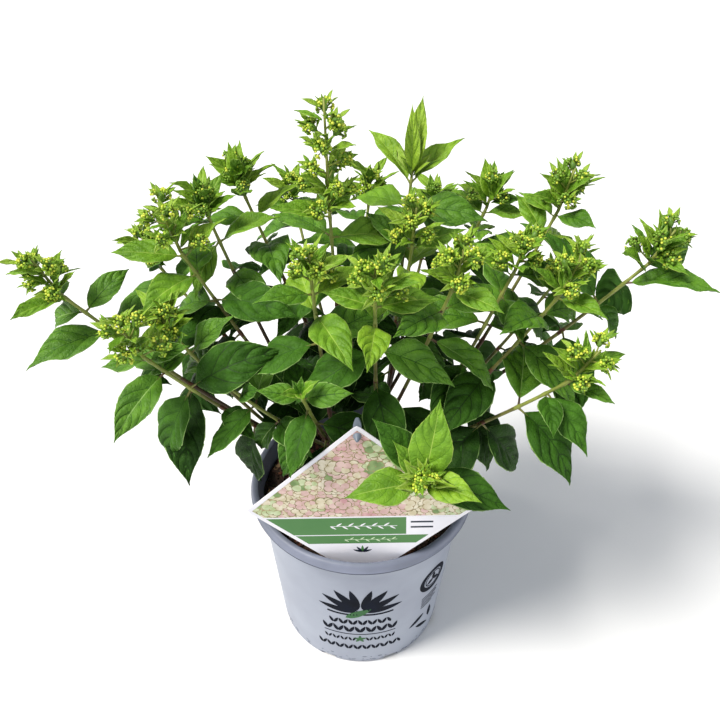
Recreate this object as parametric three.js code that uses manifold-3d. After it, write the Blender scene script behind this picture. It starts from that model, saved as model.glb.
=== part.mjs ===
// A potted panicle hydrangea in bud: nursery pot, potting bark, woody stool, canes, leafy shoots and a
// plain plant label. Millimetres, +Z up. The origin is the centre of the pot's flat underside, and the
// front of the pot, where the label stands, faces -Y.
import * as THREE from "three";
import { mergeVertices } from "three/addons/utils/BufferGeometryUtils.js";
import Module from "manifold-3d";

const wasm = await Module();
wasm.setup();

// Clearance between solids that touch on the real plant
const GAP = 0.3;
// Edges shorter than this are merged once a solid is complete, or than the next of these if that pinches it
const FINEST_DETAIL = [0.2, 0.15, 0.1, 0.05, 0.02, 0.01];

// Pot: a blow-moulded container with a band-shaped lip
const POT_HEIGHT = 200;
const LIP_TOP_RADIUS = 111;
const LIP_LOW_RADIUS = 113;
const LIP_HEIGHT = 11;
const MOUTH_RADIUS = 105.5;
const SHOULDER_RADIUS = 104.5;
const SHOULDER_DROP = 25;
const SHOULDER_STEP = 1.2;
const FOOT_RADIUS = 88;
const FOOT_CHAMFER = 3;
const POT_WALL = 1.8;
const POT_FLOOR = 2.6;
const POT_FACETS = 32;
const DRAIN_COUNT = 8;
const DRAIN_WIDTH = 16;
const DRAIN_HEIGHT = 6;

// Potting bark: its top lies below the rim, flat under the stool and uneven elsewhere
const SOIL_TOP = 182;
const SOIL_ROUGHNESS = 2.2;
const CHIP_COUNT = 8;
const CHIP_SIZE = [15, 7, 5];

// Stool: the short woody stem that all canes rise from
const STOOL_HEIGHT = 30;
const STOOL_FOOT_RADIUS = 21;
const STOOL_TOP_RADIUS = 13;
const STOOL_FACETS = 10;

// Canes: from the stool to the fork where their shoots part
const CANE_FOOT_RADIUS = 4.2;
const CANE_TIP_RADIUS = 3.1;
const CANE_FACETS = 6;
const CANE_STEPS = 4;
const FORK_SHARE = 0.3;
const KNUCKLE_LENGTH = 7;
const SAG = 0.065;

// Shoots: three-sided green stems, with leaves in opposite pairs, each pair square to the last
const SHOOT_FOOT_RADIUS = 3.2;
const SHOOT_TIP_RADIUS = 2.1;
const SHOOT_FACETS = 3;
const SHOOT_STEPS = 4;

// Leaf pairs counted down from the shoot's tip: distance below the tip, leaf length, angle off the stem,
// how far the leaf sinks from that line by its own weight, and how far it curls over along its length
const PAIR_BELOW_TIP = [8, 28, 58, 98, 142, 186];
const PAIR_LENGTH = [48, 66, 80, 84, 80, 72];
const PAIR_ANGLE = [60, 62, 66, 70, 72, 76];
const PAIR_WEIGHT = [0.05, 0.2, 0.36, 0.45, 0.5, 0.5];
const PAIR_CURL = [0.35, 0.55, 0.8, 0.9, 0.95, 0.95];
const PAIR_OFFSET = 1.3;
const LEAF_WIDTH = 0.45;
const LEAF_THICKNESS = 0.014;
const LEAF_FOOT = 2.2;
const BLADE_START = 0.22;
const BRACT_WIDTH = 0.32;
const TUFT_CURL = 0.35;
const FOOT_CLEAR = 26;
// Turns tried in this order when a leaf would cut through its neighbours: about the stem, up, and in size
const TRIES = [[0, 0, 1], [20, 0, 1], [-20, 0, 1], [0, -16, 1], [0, 16, 1], [38, -8, 0.9], [-38, -8, 0.9], [0, -30, 0.8]];

// Flower heads in bud: knots of buds round an axis, with narrow bracts between them
const HEAD_REACH = 25;
const KNOT_RADIUS = 7.6;
const BRACT_LENGTH = 30;
const GOLDEN_TURN = 137.5;

// Label: a square card on its corner, pushed into the bark, with the peg of its holder through it
const CARD_SIDE = 143;
const CARD_THICKNESS = 0.8;
const CARD_CENTRE = [-1, -96, 262];
const CARD_ROLL = 2.3;
const PEG_BELOW_CORNER = 16;
const PEG_RADIUS = 2.4;
const BUTTON_RADIUS = 4.6;
const HOLDER_WIDTH = 7;
const HOLDER_THICKNESS = 2.4;
const HOLDER_ABOVE_CORNER = 6;
const HOLDER_FOOT = 150;
// No leaf hangs in front of the label below this height
const LABEL_VIEW_TOP = 276;

// Canes, in the order in which they stand round the stool, with the turn and height at which they leave it
const CANES = {
  west: { turn: 186, rise: 12 },
  northwest: { turn: 142, rise: 19 },
  north: { turn: 98, rise: 13 },
  northeast: { turn: 58, rise: 20 },
  east: { turn: 8, rise: 13 },
  southeast: { turn: 322, rise: 19 },
  south: { turn: 276, rise: 12 },
  southwest: { turn: 230, rise: 20 },
};

// One row for each shoot: its cane, the place where its stem ends, the number of leaf pairs, the turn of the
// first pair, the size of its leaves, and the height of its flower head or the name of its tuft, or -1
const SHOOTS = [
  ["west", -258, -2, 424, 5, 20, 1.1, 34],
  ["west", -177, -62, 404, 5, 60, 1.0, 40],
  ["west", -163, -22, 398, 3, 10, 0.8, 18],
  ["northwest", -157, 25, 450, 5, 70, 1.0, 46],
  ["northwest", -141, 75, 458, 4, 25, 0.9, 14],
  ["northwest", -205, 110, 385, 5, 45, 1.0, 28],
  ["north", -116, 125, 457, 5, 60, 1.0, 24],
  ["north", -31, 62, 471, 5, 15, 1.05, 96],
  ["north", -75, 205, 405, 5, 35, 1.0, 18],
  ["north", 5, 170, 430, 4, 70, 1.0, 14],
  ["northeast", 42, 50, 445, 5, 80, 1.0, 34],
  ["northeast", 42, 108, 479, 5, 85, 1.05, "tall"],
  ["northeast", 116, 120, 445, 5, 40, 1.0, 22],
  ["northeast", 75, 225, 385, 5, 20, 1.0, 16],
  ["east", 174, 83, 462, 5, 10, 1.0, 38],
  ["east", 242, 20, 446, 5, 75, 1.2, 34],
  ["east", 200, 125, 365, 5, 55, 1.0, 28],
  ["southeast", 165, -5, 431, 5, 30, 1.0, 36],
  ["southeast", 170, -62, 384, 5, 50, 1.05, 38],
  ["southeast", 127, 10, 445, 4, 85, 0.95, 28],
  ["southeast", 47, -132, 333, 0, 85, 0.95, "star"],
  ["south", 8, -58, 457, 5, 10, 1.0, 34],
  ["south", 71, -30, 454, 5, 55, 1.0, 32],
  ["southwest", -41, -38, 455, 5, 75, 1.0, 30],
  ["southwest", -110, -50, 358, 4, 35, 0.85, -1],
  ["southwest", -50, -80, 380, 4, 20, 0.9, -1],
];

// Tufts of young leaves, which stand for the first pair: the sag of the shoot, which below 0 is an arch, the
// tuft's axis, and one row for each leaf, with its turn, its angle off the axis, its length, its width as a
// share of that, and how far below the shoot's tip it springs
const TUFTS = {
  tall: {
    sag: 0.065,
    axis: [0.03, 0.1, 1],
    leaves: [
      [330, 45, 68, 0.36, 6],
      [225, 45, 66, 0.36, 5],
      [260, 10, 73, 0.3, 1],
      [65, 5, 64, 0.26, 0],
    ],
  },
  star: {
    sag: -0.2,
    axis: [0, -0.35, 1],
    leaves: [
      [195, 75, 63, 0.46, 4],
      [330, 55, 54, 0.46, 5],
      [70, 30, 72, 0.46, 1],
      [135, 35, 45, 0.36, 2],
      [340, 85, 76, 0.42, 14],
      [140, 40, 62, 0.44, 15],
    ],
  },
};

// Leaves of the outline that hang another way than the rule gives: shoot, pair and side, then how far the
// leaf turns about its stem and lifts, and how large it is
const BENT_LEAVES = [
  [0, 1, 0, 15, -15, 0.7],
  [0, 1, 1, -45, 0, 0.8],
  [0, 2, 0, -65, -5, 0.8],
  [0, 2, 1, -25, 40, 1],
  [0, 3, 0, -55, -15, 0.8],
  [1, 1, 1, -10, 5, 1],
  [1, 2, 0, 30, -25, 1],
  [1, 3, 0, 90, 10, 0.55],
  [1, 4, 1, 50, -40, 1.1],
  [3, 0, 1, 30, 20, 1.2],
  [4, 1, 1, 45, -40, 0.9],
  [14, 0, 1, -10, -10, 0.9],
  [14, 1, 0, -75, 20, 0.9],
  [15, 0, 0, 20, -10, 1],
  [15, 0, 1, 55, 20, 1],
  [15, 1, 0, 40, 35, 1],
  [15, 1, 1, -25, -40, 1.1],
  [15, 2, 0, 15, -5, 0.6],
  [18, 0, 1, 5, 20, 0.8],
  [18, 1, 0, 40, 0, 0.7],
  [18, 1, 1, -85, -5, 0.9],
  [18, 2, 0, 15, 30, 0.9],
  [18, 3, 0, -40, 0, 1.1],
];

const UP = new THREE.Vector3(0, 0, 1);
// The blades face up and a little to the front, where the light is
const LEAN_TO_FRONT = new THREE.Vector3(0, -0.6, 0);
const ROOT = new THREE.Vector3(0, 0, SOIL_TOP + GAP);
const radians = THREE.MathUtils.degToRad;
const vector = (x, y, z) => new THREE.Vector3(x, y, z);

// A repeatable number from 0 to 1 for three whole numbers
function chance(a, b, c) {
  const x = Math.sin(a * 12.9898 + b * 78.233 + c * 37.719) * 43758.5453;
  return x - Math.floor(x);
}

// A solid from points and faces, turned right side out if its faces run the other way round
function solidFrom(points, faces) {
  const six = (sum, [a, b, c]) => sum + points[a].dot(points[b].clone().cross(points[c]));
  const outward = faces.reduce(six, 0) > 0 ? faces : faces.map(([a, b, c]) => [a, c, b]);
  const vertProperties = new Float32Array(points.flatMap((p) => [p.x, p.y, p.z]));
  return new wasm.Manifold(new wasm.Mesh({ numProp: 3, vertProperties, triVerts: new Uint32Array(outward.flat()) }));
}

function solidOfGeometry(geometry) {
  const bare = geometry.clone();
  bare.deleteAttribute("normal");
  bare.deleteAttribute("uv");
  const merged = mergeVertices(bare, 1e-4);
  const vertProperties = new Float32Array(merged.attributes.position.array);
  return new wasm.Manifold(new wasm.Mesh({ numProp: 3, vertProperties, triVerts: new Uint32Array(merged.index.array) }));
}

function geometryOf(solid) {
  const mesh = solid.getMesh();
  const positions = new Float32Array(mesh.numVert * 3);
  for (let i = 0; i < mesh.numVert; i++) {
    positions.set(mesh.vertProperties.subarray(i * mesh.numProp, i * mesh.numProp + 3), i * 3);
  }
  const geometry = new THREE.BufferGeometry();
  geometry.setAttribute("position", new THREE.BufferAttribute(positions, 3));
  geometry.setIndex(new THREE.BufferAttribute(new Uint32Array(mesh.triVerts), 1));
  return geometry;
}

// A closed skin through sections, each a ring of as many points or, at the ends, one point
function loft(sections) {
  const points = sections.flat();
  const faces = [];
  let start = 0;
  for (let s = 0; s + 1 < sections.length; s++) {
    const count = Math.max(sections[s].length, sections[s + 1].length);
    const next = start + sections[s].length;
    for (let i = 0; i < count; i++) {
      const j = (i + 1) % count;
      const [a, b] = sections[s].length > 1 ? [start + i, start + j] : [start, start];
      const [c, d] = sections[s + 1].length > 1 ? [next + i, next + j] : [next, next];
      faces.push([a, b, d], [a, d, c]);
    }
    start = next;
  }
  for (let i = 1; i + 1 < sections[0].length; i++) {
    faces.push([0, i + 1, i]);
  }
  for (let i = 1; i + 1 < sections.at(-1).length; i++) {
    faces.push([start, start + i, start + i + 1]);
  }
  return solidFrom(points, faces.filter(([a, b, c]) => a !== b && b !== c && a !== c));
}

// A tapering limb along a curve
function limb(curve, footRadius, tipRadius, facets, steps) {
  const frames = curve.computeFrenetFrames(steps);
  const sections = [];
  for (let s = 0; s <= steps; s++) {
    const centre = curve.getPointAt(s / steps);
    const radius = footRadius + (tipRadius - footRadius) * (s / steps);
    const ring = [];
    for (let i = 0; i < facets; i++) {
      const a = (2 * Math.PI * i) / facets;
      const side = frames.normals[s].clone().multiplyScalar(Math.cos(a) * radius);
      ring.push(side.addScaledVector(frames.binormals[s], Math.sin(a) * radius).add(centre));
    }
    sections.push(ring);
  }
  return loft(sections);
}

// The stem's line from one place to another, hanging a little below the straight line between them
function stemCurve(from, to, sag = SAG) {
  const middle = from.clone().lerp(to, 0.5).addScaledVector(UP, -sag * from.distanceTo(to));
  return new THREE.QuadraticBezierCurve3(from, middle, to);
}

// Where a leaf's middle line has come to, and which way its upper face looks, at a share of its length
function leafLine(leaf, share) {
  const angle = leaf.bend * share;
  const along = (leaf.length * Math.sin(angle)) / leaf.bend;
  const down = (leaf.length * (1 - Math.cos(angle))) / leaf.bend;
  const point = leaf.root.clone().addScaledVector(leaf.aim, along).addScaledVector(leaf.face, -down);
  const face = leaf.face.clone().multiplyScalar(Math.cos(angle)).addScaledVector(leaf.aim, Math.sin(angle));
  return { point, face };
}

// A leaf as a thin blade with a keel, from a share of its length to its tip
function leafSolid(leaf, margin = 0, from = 0) {
  const across = new THREE.Vector3().crossVectors(leaf.aim, leaf.face);
  const stations = leaf.small ? [[from, from ? 0.6 : 0], [0.44, 1.08]] : [[from, from ? 0.75 : 0], [0.28, 0.92], [0.6, 0.9]];
  const sections = stations.map(([share, spread]) => {
    const { point, face } = leafLine(leaf, share);
    const half = Math.max((leaf.width / 2) * spread, LEAF_FOOT / 2) + margin;
    const keel = Math.max(leaf.length * LEAF_THICKNESS, share === 0 ? LEAF_FOOT * 0.8 : 0.8);
    const rise = point.clone().addScaledVector(face, keel / 2 + margin);
    return [
      rise.clone().addScaledVector(across, -half),
      point.clone().addScaledVector(face, -keel / 2 - margin),
      rise.clone().addScaledVector(across, half),
    ];
  });
  sections.push([leafLine(leaf, 1).point]);
  return loft(sections);
}

// A knot of buds on its ray, as a four-sided drop that is widest near its outer end
function knotSolid(root, tip, radius) {
  const axis = tip.clone().sub(root).normalize();
  const side = new THREE.Vector3().crossVectors(axis, Math.abs(axis.z) < 0.9 ? UP : vector(1, 0, 0)).normalize();
  const other = new THREE.Vector3().crossVectors(axis, side);
  const foot = [];
  const ring = [];
  const belly = root.clone().lerp(tip, 0.62);
  for (const [a, b] of [[1, 0], [0, 1], [-1, 0], [0, -1]]) {
    const out = side.clone().multiplyScalar(a).addScaledVector(other, b);
    foot.push(root.clone().addScaledVector(out, 0.8));
    ring.push(belly.clone().addScaledVector(out, radius));
  }
  return loft([foot, ring, [tip]]);
}

// All solids placed so far that a new leaf has to keep clear of
const placed = [];

function boundsApart(a, b) {
  return [0, 1, 2].some((i) => a.min[i] > b.max[i] || b.min[i] > a.max[i]);
}

function place(solid, shoot) {
  placed.push({ solid, box: solid.boundingBox(), shoot });
}

// Whether a solid is clear of everything placed for this shoot, or of everything placed for the others
function isClear(solid, shoot, own) {
  const box = solid.boundingBox();
  const others = placed.filter((other) => (other.shoot === shoot) === own && !boundsApart(box, other.box));
  return others.every((other) => solid.intersect(other.solid).isEmpty());
}

// A leaf that springs from a stem at a turn about it, at an angle off it, and hangs by its own weight
function leafAt(root, tangent, turn, angle, weight, bend, length, width, small) {
  const level = new THREE.Vector3().crossVectors(UP, tangent).normalize();
  const rising = new THREE.Vector3().crossVectors(tangent, level);
  const out = level.multiplyScalar(Math.cos(radians(turn))).addScaledVector(rising, Math.sin(radians(turn)));
  const aim = out.multiplyScalar(Math.sin(radians(angle))).addScaledVector(tangent, Math.cos(radians(angle)));
  aim.z -= weight;
  aim.normalize();
  const light = tangent.clone().multiplyScalar(0.7).add(UP).add(LEAN_TO_FRONT);
  const face = light.addScaledVector(aim, -light.dot(aim)).normalize();
  return { root, aim, face, bend, length, width, small };
}

// Tries a leaf in a few turns, and returns the first that is clear of everything else, or nothing
function fittingLeaf(shoot, make) {
  for (const [turn, lift, scale] of TRIES) {
    const leaf = make(turn, lift, scale);
    if (isClear(leafSolid(leaf, GAP), shoot, false) && isClear(leafSolid(leaf, 0, BLADE_START), shoot, true)) {
      return leaf;
    }
  }
  return null;
}

function flowerHead(shoot, tip, tangent, turn, height) {
  const axis = tangent.clone().multiplyScalar(0.7).addScaledVector(UP, 0.5).normalize();
  const crown = tip.clone().addScaledVector(axis, height);
  const foot = tip.clone().addScaledVector(tangent, -2);
  const solids = [limb(new THREE.LineCurve3(foot, crown), SHOOT_TIP_RADIUS, 1.5, SHOOT_FACETS, 1)];
  const knots = Math.max(4, Math.round(2 + height / 9));
  const level = new THREE.Vector3().crossVectors(UP, axis).normalize();
  const rising = new THREE.Vector3().crossVectors(axis, level);
  const bracts = [];
  for (let k = 0; k < knots; k++) {
    const share = k / (knots - 1);
    const root = tip.clone().addScaledVector(axis, height * 0.8 * share);
    const a = radians(turn + k * GOLDEN_TURN);
    const out = level.clone().multiplyScalar(Math.cos(a)).addScaledVector(rising, Math.sin(a));
    const reach = HEAD_REACH * (1 - 0.55 * share) * (0.8 + 0.4 * chance(shoot, k, 5)) * Math.min(1.3, 0.4 + height / 50);
    const end = root.clone().addScaledVector(out, reach).addScaledVector(axis, 10 + 5 * share);
    const knot = knotSolid(root, end, KNOT_RADIUS * (0.85 + 0.3 * chance(shoot, k, 7)));
    if (isClear(knot, shoot, false)) {
      solids.push(knot);
    }
    if (k % 2 === 0) {
      bracts.push([root, turn + k * GOLDEN_TURN + 62, BRACT_LENGTH * (0.8 + 0.7 * chance(shoot, k, 6)) * (1 - 0.3 * share)]);
    }
  }
  solids.forEach((solid) => place(solid, shoot));
  for (const [root, around, length] of bracts) {
    const bract = fittingLeaf(shoot, (dt, lift, scale) =>
      leafAt(root, axis, around + dt, 58 - lift, 0, 0.3, length * scale, length * BRACT_WIDTH, true),
    );
    if (bract) {
      solids.push(leafSolid(bract));
      place(solids.at(-1), shoot);
    }
  }
  return solids;
}

function leafTuft(shoot, tip, tangent, tuft) {
  const axis = new THREE.Vector3(...tuft.axis).normalize();
  const solids = tuft.leaves.map(([turn, angle, length, spread, below]) => {
    const root = tip.clone().addScaledVector(tangent, -below);
    return leafSolid(leafAt(root, axis, turn, angle, 0, TUFT_CURL, length, length * spread, false));
  });
  solids.forEach((solid) => place(solid, shoot));
  return solids;
}

function makeSoil(cutters) {
  const inner = (z) => FOOT_RADIUS + ((SHOULDER_RADIUS - FOOT_RADIUS) * z) / POT_HEIGHT - POT_WALL - GAP;
  const bottom = POT_FLOOR + GAP;
  const rings = [STOOL_FOOT_RADIUS + 5, 50, 76, inner(SOIL_TOP) - 4];
  const profile = [vector2(0, bottom), vector2(inner(bottom) - 1, bottom), vector2(inner(SOIL_TOP) - 0.6, SOIL_TOP - 3)];
  for (const r of rings.toReversed()) {
    profile.push(vector2(r, SOIL_TOP));
  }
  profile.push(vector2(0, SOIL_TOP));
  const geometry = turned(profile, 20);
  const positions = geometry.attributes.position;
  for (let i = 0; i < positions.count; i++) {
    const r = Math.hypot(positions.getX(i), positions.getY(i));
    if (positions.getZ(i) > SOIL_TOP - 1 && r > rings[0] + 1) {
      const bump = chance(Math.round(positions.getX(i)), Math.round(positions.getY(i)), 3) - 0.5;
      positions.setZ(i, SOIL_TOP + bump * 2 * SOIL_ROUGHNESS);
    }
  }
  let soil = solidOfGeometry(geometry);
  for (let k = 0; k < CHIP_COUNT; k++) {
    const a = radians(k * GOLDEN_TURN);
    const r = 36 + 46 * Math.sqrt(chance(k, 1, 8));
    const chip = new THREE.BoxGeometry(...CHIP_SIZE.map((s, i) => s * (0.7 + 0.6 * chance(k, i, 9))));
    chip.rotateX(0.5 * (chance(k, 2, 8) - 0.5));
    chip.rotateZ(Math.PI * chance(k, 3, 8));
    chip.translate(r * Math.cos(a), r * Math.sin(a), SOIL_TOP + 0.6);
    soil = soil.add(solidOfGeometry(chip));
  }
  for (const cutter of cutters) {
    soil = soil.subtract(cutter);
  }
  return soil;
}

function vector2(x, y) {
  return new THREE.Vector2(x, y);
}

// A profile turned about the Z axis
function turned(profile, facets) {
  return new THREE.LatheGeometry(profile, facets).rotateX(Math.PI / 2);
}

function makePot() {
  const lipBottom = POT_HEIGHT - LIP_HEIGHT;
  const shoulder = POT_HEIGHT - SHOULDER_DROP;
  const outer = (z) => FOOT_RADIUS + ((SHOULDER_RADIUS - FOOT_RADIUS) * z) / POT_HEIGHT;
  const profile = [
    vector2(0, 0),
    vector2(FOOT_RADIUS - FOOT_CHAMFER, 0),
    vector2(outer(FOOT_CHAMFER), FOOT_CHAMFER),
    vector2(outer(shoulder), shoulder),
    vector2(outer(shoulder) + SHOULDER_STEP, shoulder + 1.5),
    vector2(outer(lipBottom) + SHOULDER_STEP, lipBottom),
    vector2(LIP_LOW_RADIUS, lipBottom),
    vector2(LIP_TOP_RADIUS + 0.6, POT_HEIGHT - 3),
    vector2(LIP_TOP_RADIUS - 1.4, POT_HEIGHT),
    vector2(MOUTH_RADIUS, POT_HEIGHT),
    vector2(outer(lipBottom) - POT_WALL, lipBottom - 1),
    vector2(outer(POT_FLOOR) - POT_WALL, POT_FLOOR),
    vector2(0, POT_FLOOR),
  ];
  let pot = solidOfGeometry(turned(profile, POT_FACETS));
  for (let k = 0; k < DRAIN_COUNT; k++) {
    const notch = new THREE.BoxGeometry(24, DRAIN_WIDTH, 2 * DRAIN_HEIGHT);
    notch.translate(FOOT_RADIUS, 0, 0);
    notch.rotateZ((2 * Math.PI * (k + 0.5)) / DRAIN_COUNT);
    pot = pot.subtract(solidOfGeometry(notch));
  }
  return pot;
}

// The stool has a root flare, a flat foot on the bark and a rounded knuckle on top
function makeStool(margin) {
  const top = ROOT.z + STOOL_HEIGHT + margin;
  const geometry = turned([
    vector2(0, ROOT.z - margin),
    vector2(STOOL_FOOT_RADIUS + margin, ROOT.z - margin),
    vector2(STOOL_FOOT_RADIUS * 0.8 + margin, ROOT.z + STOOL_HEIGHT * 0.22),
    vector2(STOOL_TOP_RADIUS * 1.08 + margin, ROOT.z + STOOL_HEIGHT * 0.55),
    vector2(STOOL_TOP_RADIUS + margin, ROOT.z + STOOL_HEIGHT * 0.85),
    vector2(STOOL_TOP_RADIUS * 0.6 + margin, top),
    vector2(0, top),
  ], STOOL_FACETS);
  const positions = geometry.attributes.position;
  for (let i = 0; i < positions.count; i++) {
    const x = positions.getX(i);
    const y = positions.getY(i);
    const lobe = 1 + 0.12 * Math.sin(3 * Math.atan2(y, x) + 0.6);
    positions.setXYZ(i, x * lobe, y * lobe, positions.getZ(i));
  }
  return solidOfGeometry(geometry);
}

// The card's frame: its centre, with its corners up, down and to the sides
function cardMatrix() {
  const turn = new THREE.Matrix4().makeRotationY(radians(45 - CARD_ROLL));
  return new THREE.Matrix4().makeTranslation(...CARD_CENTRE).multiply(turn);
}

function makeCard(margin) {
  const card = new THREE.BoxGeometry(CARD_SIDE + 2 * margin, CARD_THICKNESS + 2 * margin, CARD_SIDE + 2 * margin);
  return solidOfGeometry(card.applyMatrix4(cardMatrix()));
}

function pegPlace() {
  const corner = vector(CARD_SIDE / 2 - PEG_BELOW_CORNER / 2, 0, CARD_SIDE / 2 - PEG_BELOW_CORNER / 2);
  const top = vector(-CARD_SIDE / 2, 0, CARD_SIDE / 2).applyMatrix4(cardMatrix());
  const other = corner.clone().applyMatrix4(cardMatrix());
  const upper = top.z > other.z ? vector(-corner.x, 0, corner.z) : corner;
  return upper.applyMatrix4(cardMatrix());
}

// A rod along Y through the peg's place
function pegRod(radius, from, to, farRadius = radius) {
  const at = pegPlace();
  const rod = new THREE.CylinderGeometry(farRadius, radius, to - from, 10);
  return solidOfGeometry(rod.translate(at.x, at.y + (from + to) / 2, at.z));
}

// The holder stands behind the card and holds it by a peg with a button in front
function makeHolder() {
  const at = pegPlace();
  const top = at.z + PEG_BELOW_CORNER / 2 + HOLDER_ABOVE_CORNER + 6;
  const bar = new THREE.BoxGeometry(HOLDER_WIDTH, HOLDER_THICKNESS, top - HOLDER_FOOT);
  const back = CARD_THICKNESS / 2 + GAP;
  bar.translate(at.x, at.y + back + HOLDER_THICKNESS / 2, (top + HOLDER_FOOT) / 2);
  const peg = pegRod(PEG_RADIUS, -3, back + 1);
  const button = pegRod(BUTTON_RADIUS * 0.6, -4.6, -back, BUTTON_RADIUS);
  return solidOfGeometry(bar).add(peg).add(button);
}

// The space that the pot, the label and its holder take up, which the leaves keep clear of
function placeObstacles(holder) {
  const drum = new THREE.CylinderGeometry(LIP_LOW_RADIUS + 1, LIP_LOW_RADIUS + 1, POT_HEIGHT + 1, 24);
  place(solidOfGeometry(drum.rotateX(Math.PI / 2).translate(0, 0, POT_HEIGHT / 2)), -1);
  place(makeCard(GAP), -1);
  const view = new THREE.BoxGeometry(2 * LIP_LOW_RADIUS, 120, LABEL_VIEW_TOP);
  place(solidOfGeometry(view.translate(0, CARD_CENTRE[1] - 60, LABEL_VIEW_TOP / 2)), -1);
  place(holder, -1);
}

// Stems first, then the heads and the leaves nearest the tips, then the leaves further in
function makePlant(holder) {
  const stool = makeStool(0);
  const canes = {};
  placeObstacles(holder);
  place(stool, -1);
  for (const [name, { turn, rise }] of Object.entries(CANES)) {
    const carried = SHOOTS.filter((row) => row[0] === name);
    const mean = vector(0, 0, 0);
    for (const [, x, y, z] of carried) {
      mean.add(vector(x, y, z).multiplyScalar(1 / carried.length));
    }
    const foot = vector(Math.cos(radians(turn)), Math.sin(radians(turn)), 0).multiplyScalar(STOOL_TOP_RADIUS * 0.6);
    foot.z = ROOT.z + rise;
    const fork = foot.clone().lerp(mean, FORK_SHARE).addScaledVector(UP, -6);
    const curve = stemCurve(foot, fork);
    const whole = limb(curve, CANE_FOOT_RADIUS, CANE_TIP_RADIUS, CANE_FACETS, CANE_STEPS);
    const heading = curve.getTangentAt(1);
    const near = fork.clone().addScaledVector(heading, GAP);
    const far = fork.clone().addScaledVector(heading, KNUCKLE_LENGTH);
    const knuckle = limb(new THREE.LineCurve3(near, far), CANE_TIP_RADIUS, SHOOT_FOOT_RADIUS, CANE_FACETS, 1);
    canes[name] = { start: far.addScaledVector(heading, -1.2), solid: whole.subtract(makeStool(GAP)), mass: knuckle };
    place(whole, -1);
  }
  const shoots = SHOOTS.map(([cane, x, y, z, pairs, turn, size, head], index) => {
    const curve = stemCurve(canes[cane].start, vector(x, y, z), TUFTS[head]?.sag);
    const stem = limb(curve, SHOOT_FOOT_RADIUS, SHOOT_TIP_RADIUS, SHOOT_FACETS, SHOOT_STEPS);
    place(stem, index);
    return { index, cane, curve, pairs, turn, size, head, solids: [stem] };
  });
  for (const shoot of shoots) {
    const tip = shoot.curve.getPointAt(1);
    const tangent = shoot.curve.getTangentAt(1);
    if (shoot.head in TUFTS) {
      shoot.solids.push(...leafTuft(shoot.index, tip, tangent, TUFTS[shoot.head]));
    } else if (shoot.head > 0) {
      shoot.solids.push(...flowerHead(shoot.index, tip, tangent, shoot.turn, shoot.head));
    }
  }
  for (let pair = 0; pair < PAIR_LENGTH.length; pair++) {
    for (const shoot of shoots) {
      addPair(shoot, pair);
    }
  }
  for (const { cane, solids } of shoots) {
    canes[cane].mass = solids.reduce((sum, solid) => sum.add(solid), canes[cane].mass);
  }
  return { stool, canes };
}

function addPair(shoot, pair) {
  const length = shoot.curve.getLength();
  const share = 1 - PAIR_BELOW_TIP[pair] / length;
  const inTuft = pair === 0 && shoot.head in TUFTS;
  if (inTuft || pair >= shoot.pairs || length - PAIR_BELOW_TIP[pair] < FOOT_CLEAR) {
    return;
  }
  const tangent = shoot.curve.getTangentAt(share);
  for (const side of [0, 1]) {
    const root = shoot.curve.getPointAt(share).addScaledVector(tangent, side * PAIR_OFFSET);
    const luck = (k) => chance(shoot.index, pair * 2 + side, k);
    const bent = BENT_LEAVES.find((row) => row[0] === shoot.index && row[1] === pair && row[2] === side);
    const [moreTurn, lifted, larger] = bent?.slice(3) ?? [0, 0, 1];
    const turn = shoot.turn + pair * 90 + side * 180 + 24 * (luck(1) - 0.5) + moreTurn;
    const angle = PAIR_ANGLE[pair] + 16 * (luck(2) - 0.5) - lifted;
    const curl = PAIR_CURL[pair] * (0.7 + 0.6 * luck(3));
    const size = PAIR_LENGTH[pair] * shoot.size * (0.86 + 0.28 * luck(4)) * larger;
    const leaf = fittingLeaf(shoot.index, (dt, lift, scale) =>
      leafAt(root, tangent, turn + dt, angle - lift, PAIR_WEIGHT[pair], curl, size * scale, size * scale * LEAF_WIDTH, pair < 1 || pair > 3),
    );
    if (leaf) {
      const solid = leafSolid(leaf);
      place(solid, shoot.index);
      shoot.solids.push(solid);
    }
  }
}

// Colours and finish of each kind of piece
const FINISH = {
  pot: new THREE.MeshStandardMaterial({ color: 0xc9d2de, roughness: 0.55, metalness: 0 }),
  soil: new THREE.MeshStandardMaterial({ color: 0x3b2a20, roughness: 0.95, metalness: 0 }),
  wood: new THREE.MeshStandardMaterial({ color: 0x6b4a35, roughness: 0.8, metalness: 0 }),
  foliage: new THREE.MeshStandardMaterial({ color: 0x4f8a33, roughness: 0.6, metalness: 0 }),
  card: new THREE.MeshStandardMaterial({ color: 0xe9e6e0, roughness: 0.4, metalness: 0 }),
  holder: new THREE.MeshStandardMaterial({ color: 0x7d858e, roughness: 0.5, metalness: 0 }),
};

const plant = new THREE.Group();
plant.name = "potted_hydrangea";

// Whether every edge, told by the places of its ends, belongs to just two faces
function isPinchFree(geometry) {
  const { position } = geometry.attributes;
  const keyOf = (i) => [position.getX(i), position.getY(i), position.getZ(i)].map((v) => v.toFixed(3)).join(" ");
  const keys = Array.from({ length: position.count }, (_, i) => keyOf(i));
  const uses = new Map();
  const corners = geometry.index.array;
  for (let i = 0; i < corners.length; i++) {
    const next = i % 3 === 2 ? i - 2 : i + 1;
    const edge = [keys[corners[i]], keys[corners[next]]].sort().join("|");
    uses.set(edge, (uses.get(edge) ?? 0) + 1);
  }
  return [...uses.values()].every((count) => count === 2);
}

function addNode(name, solid, finish) {
  const whole = solid.asOriginal();
  const geometry = FINEST_DETAIL.map((limit) => geometryOf(whole.simplify(limit))).find(isPinchFree);
  const mesh = new THREE.Mesh(geometry ?? geometryOf(whole), finish);
  mesh.name = name;
  plant.add(mesh);
}

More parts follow.
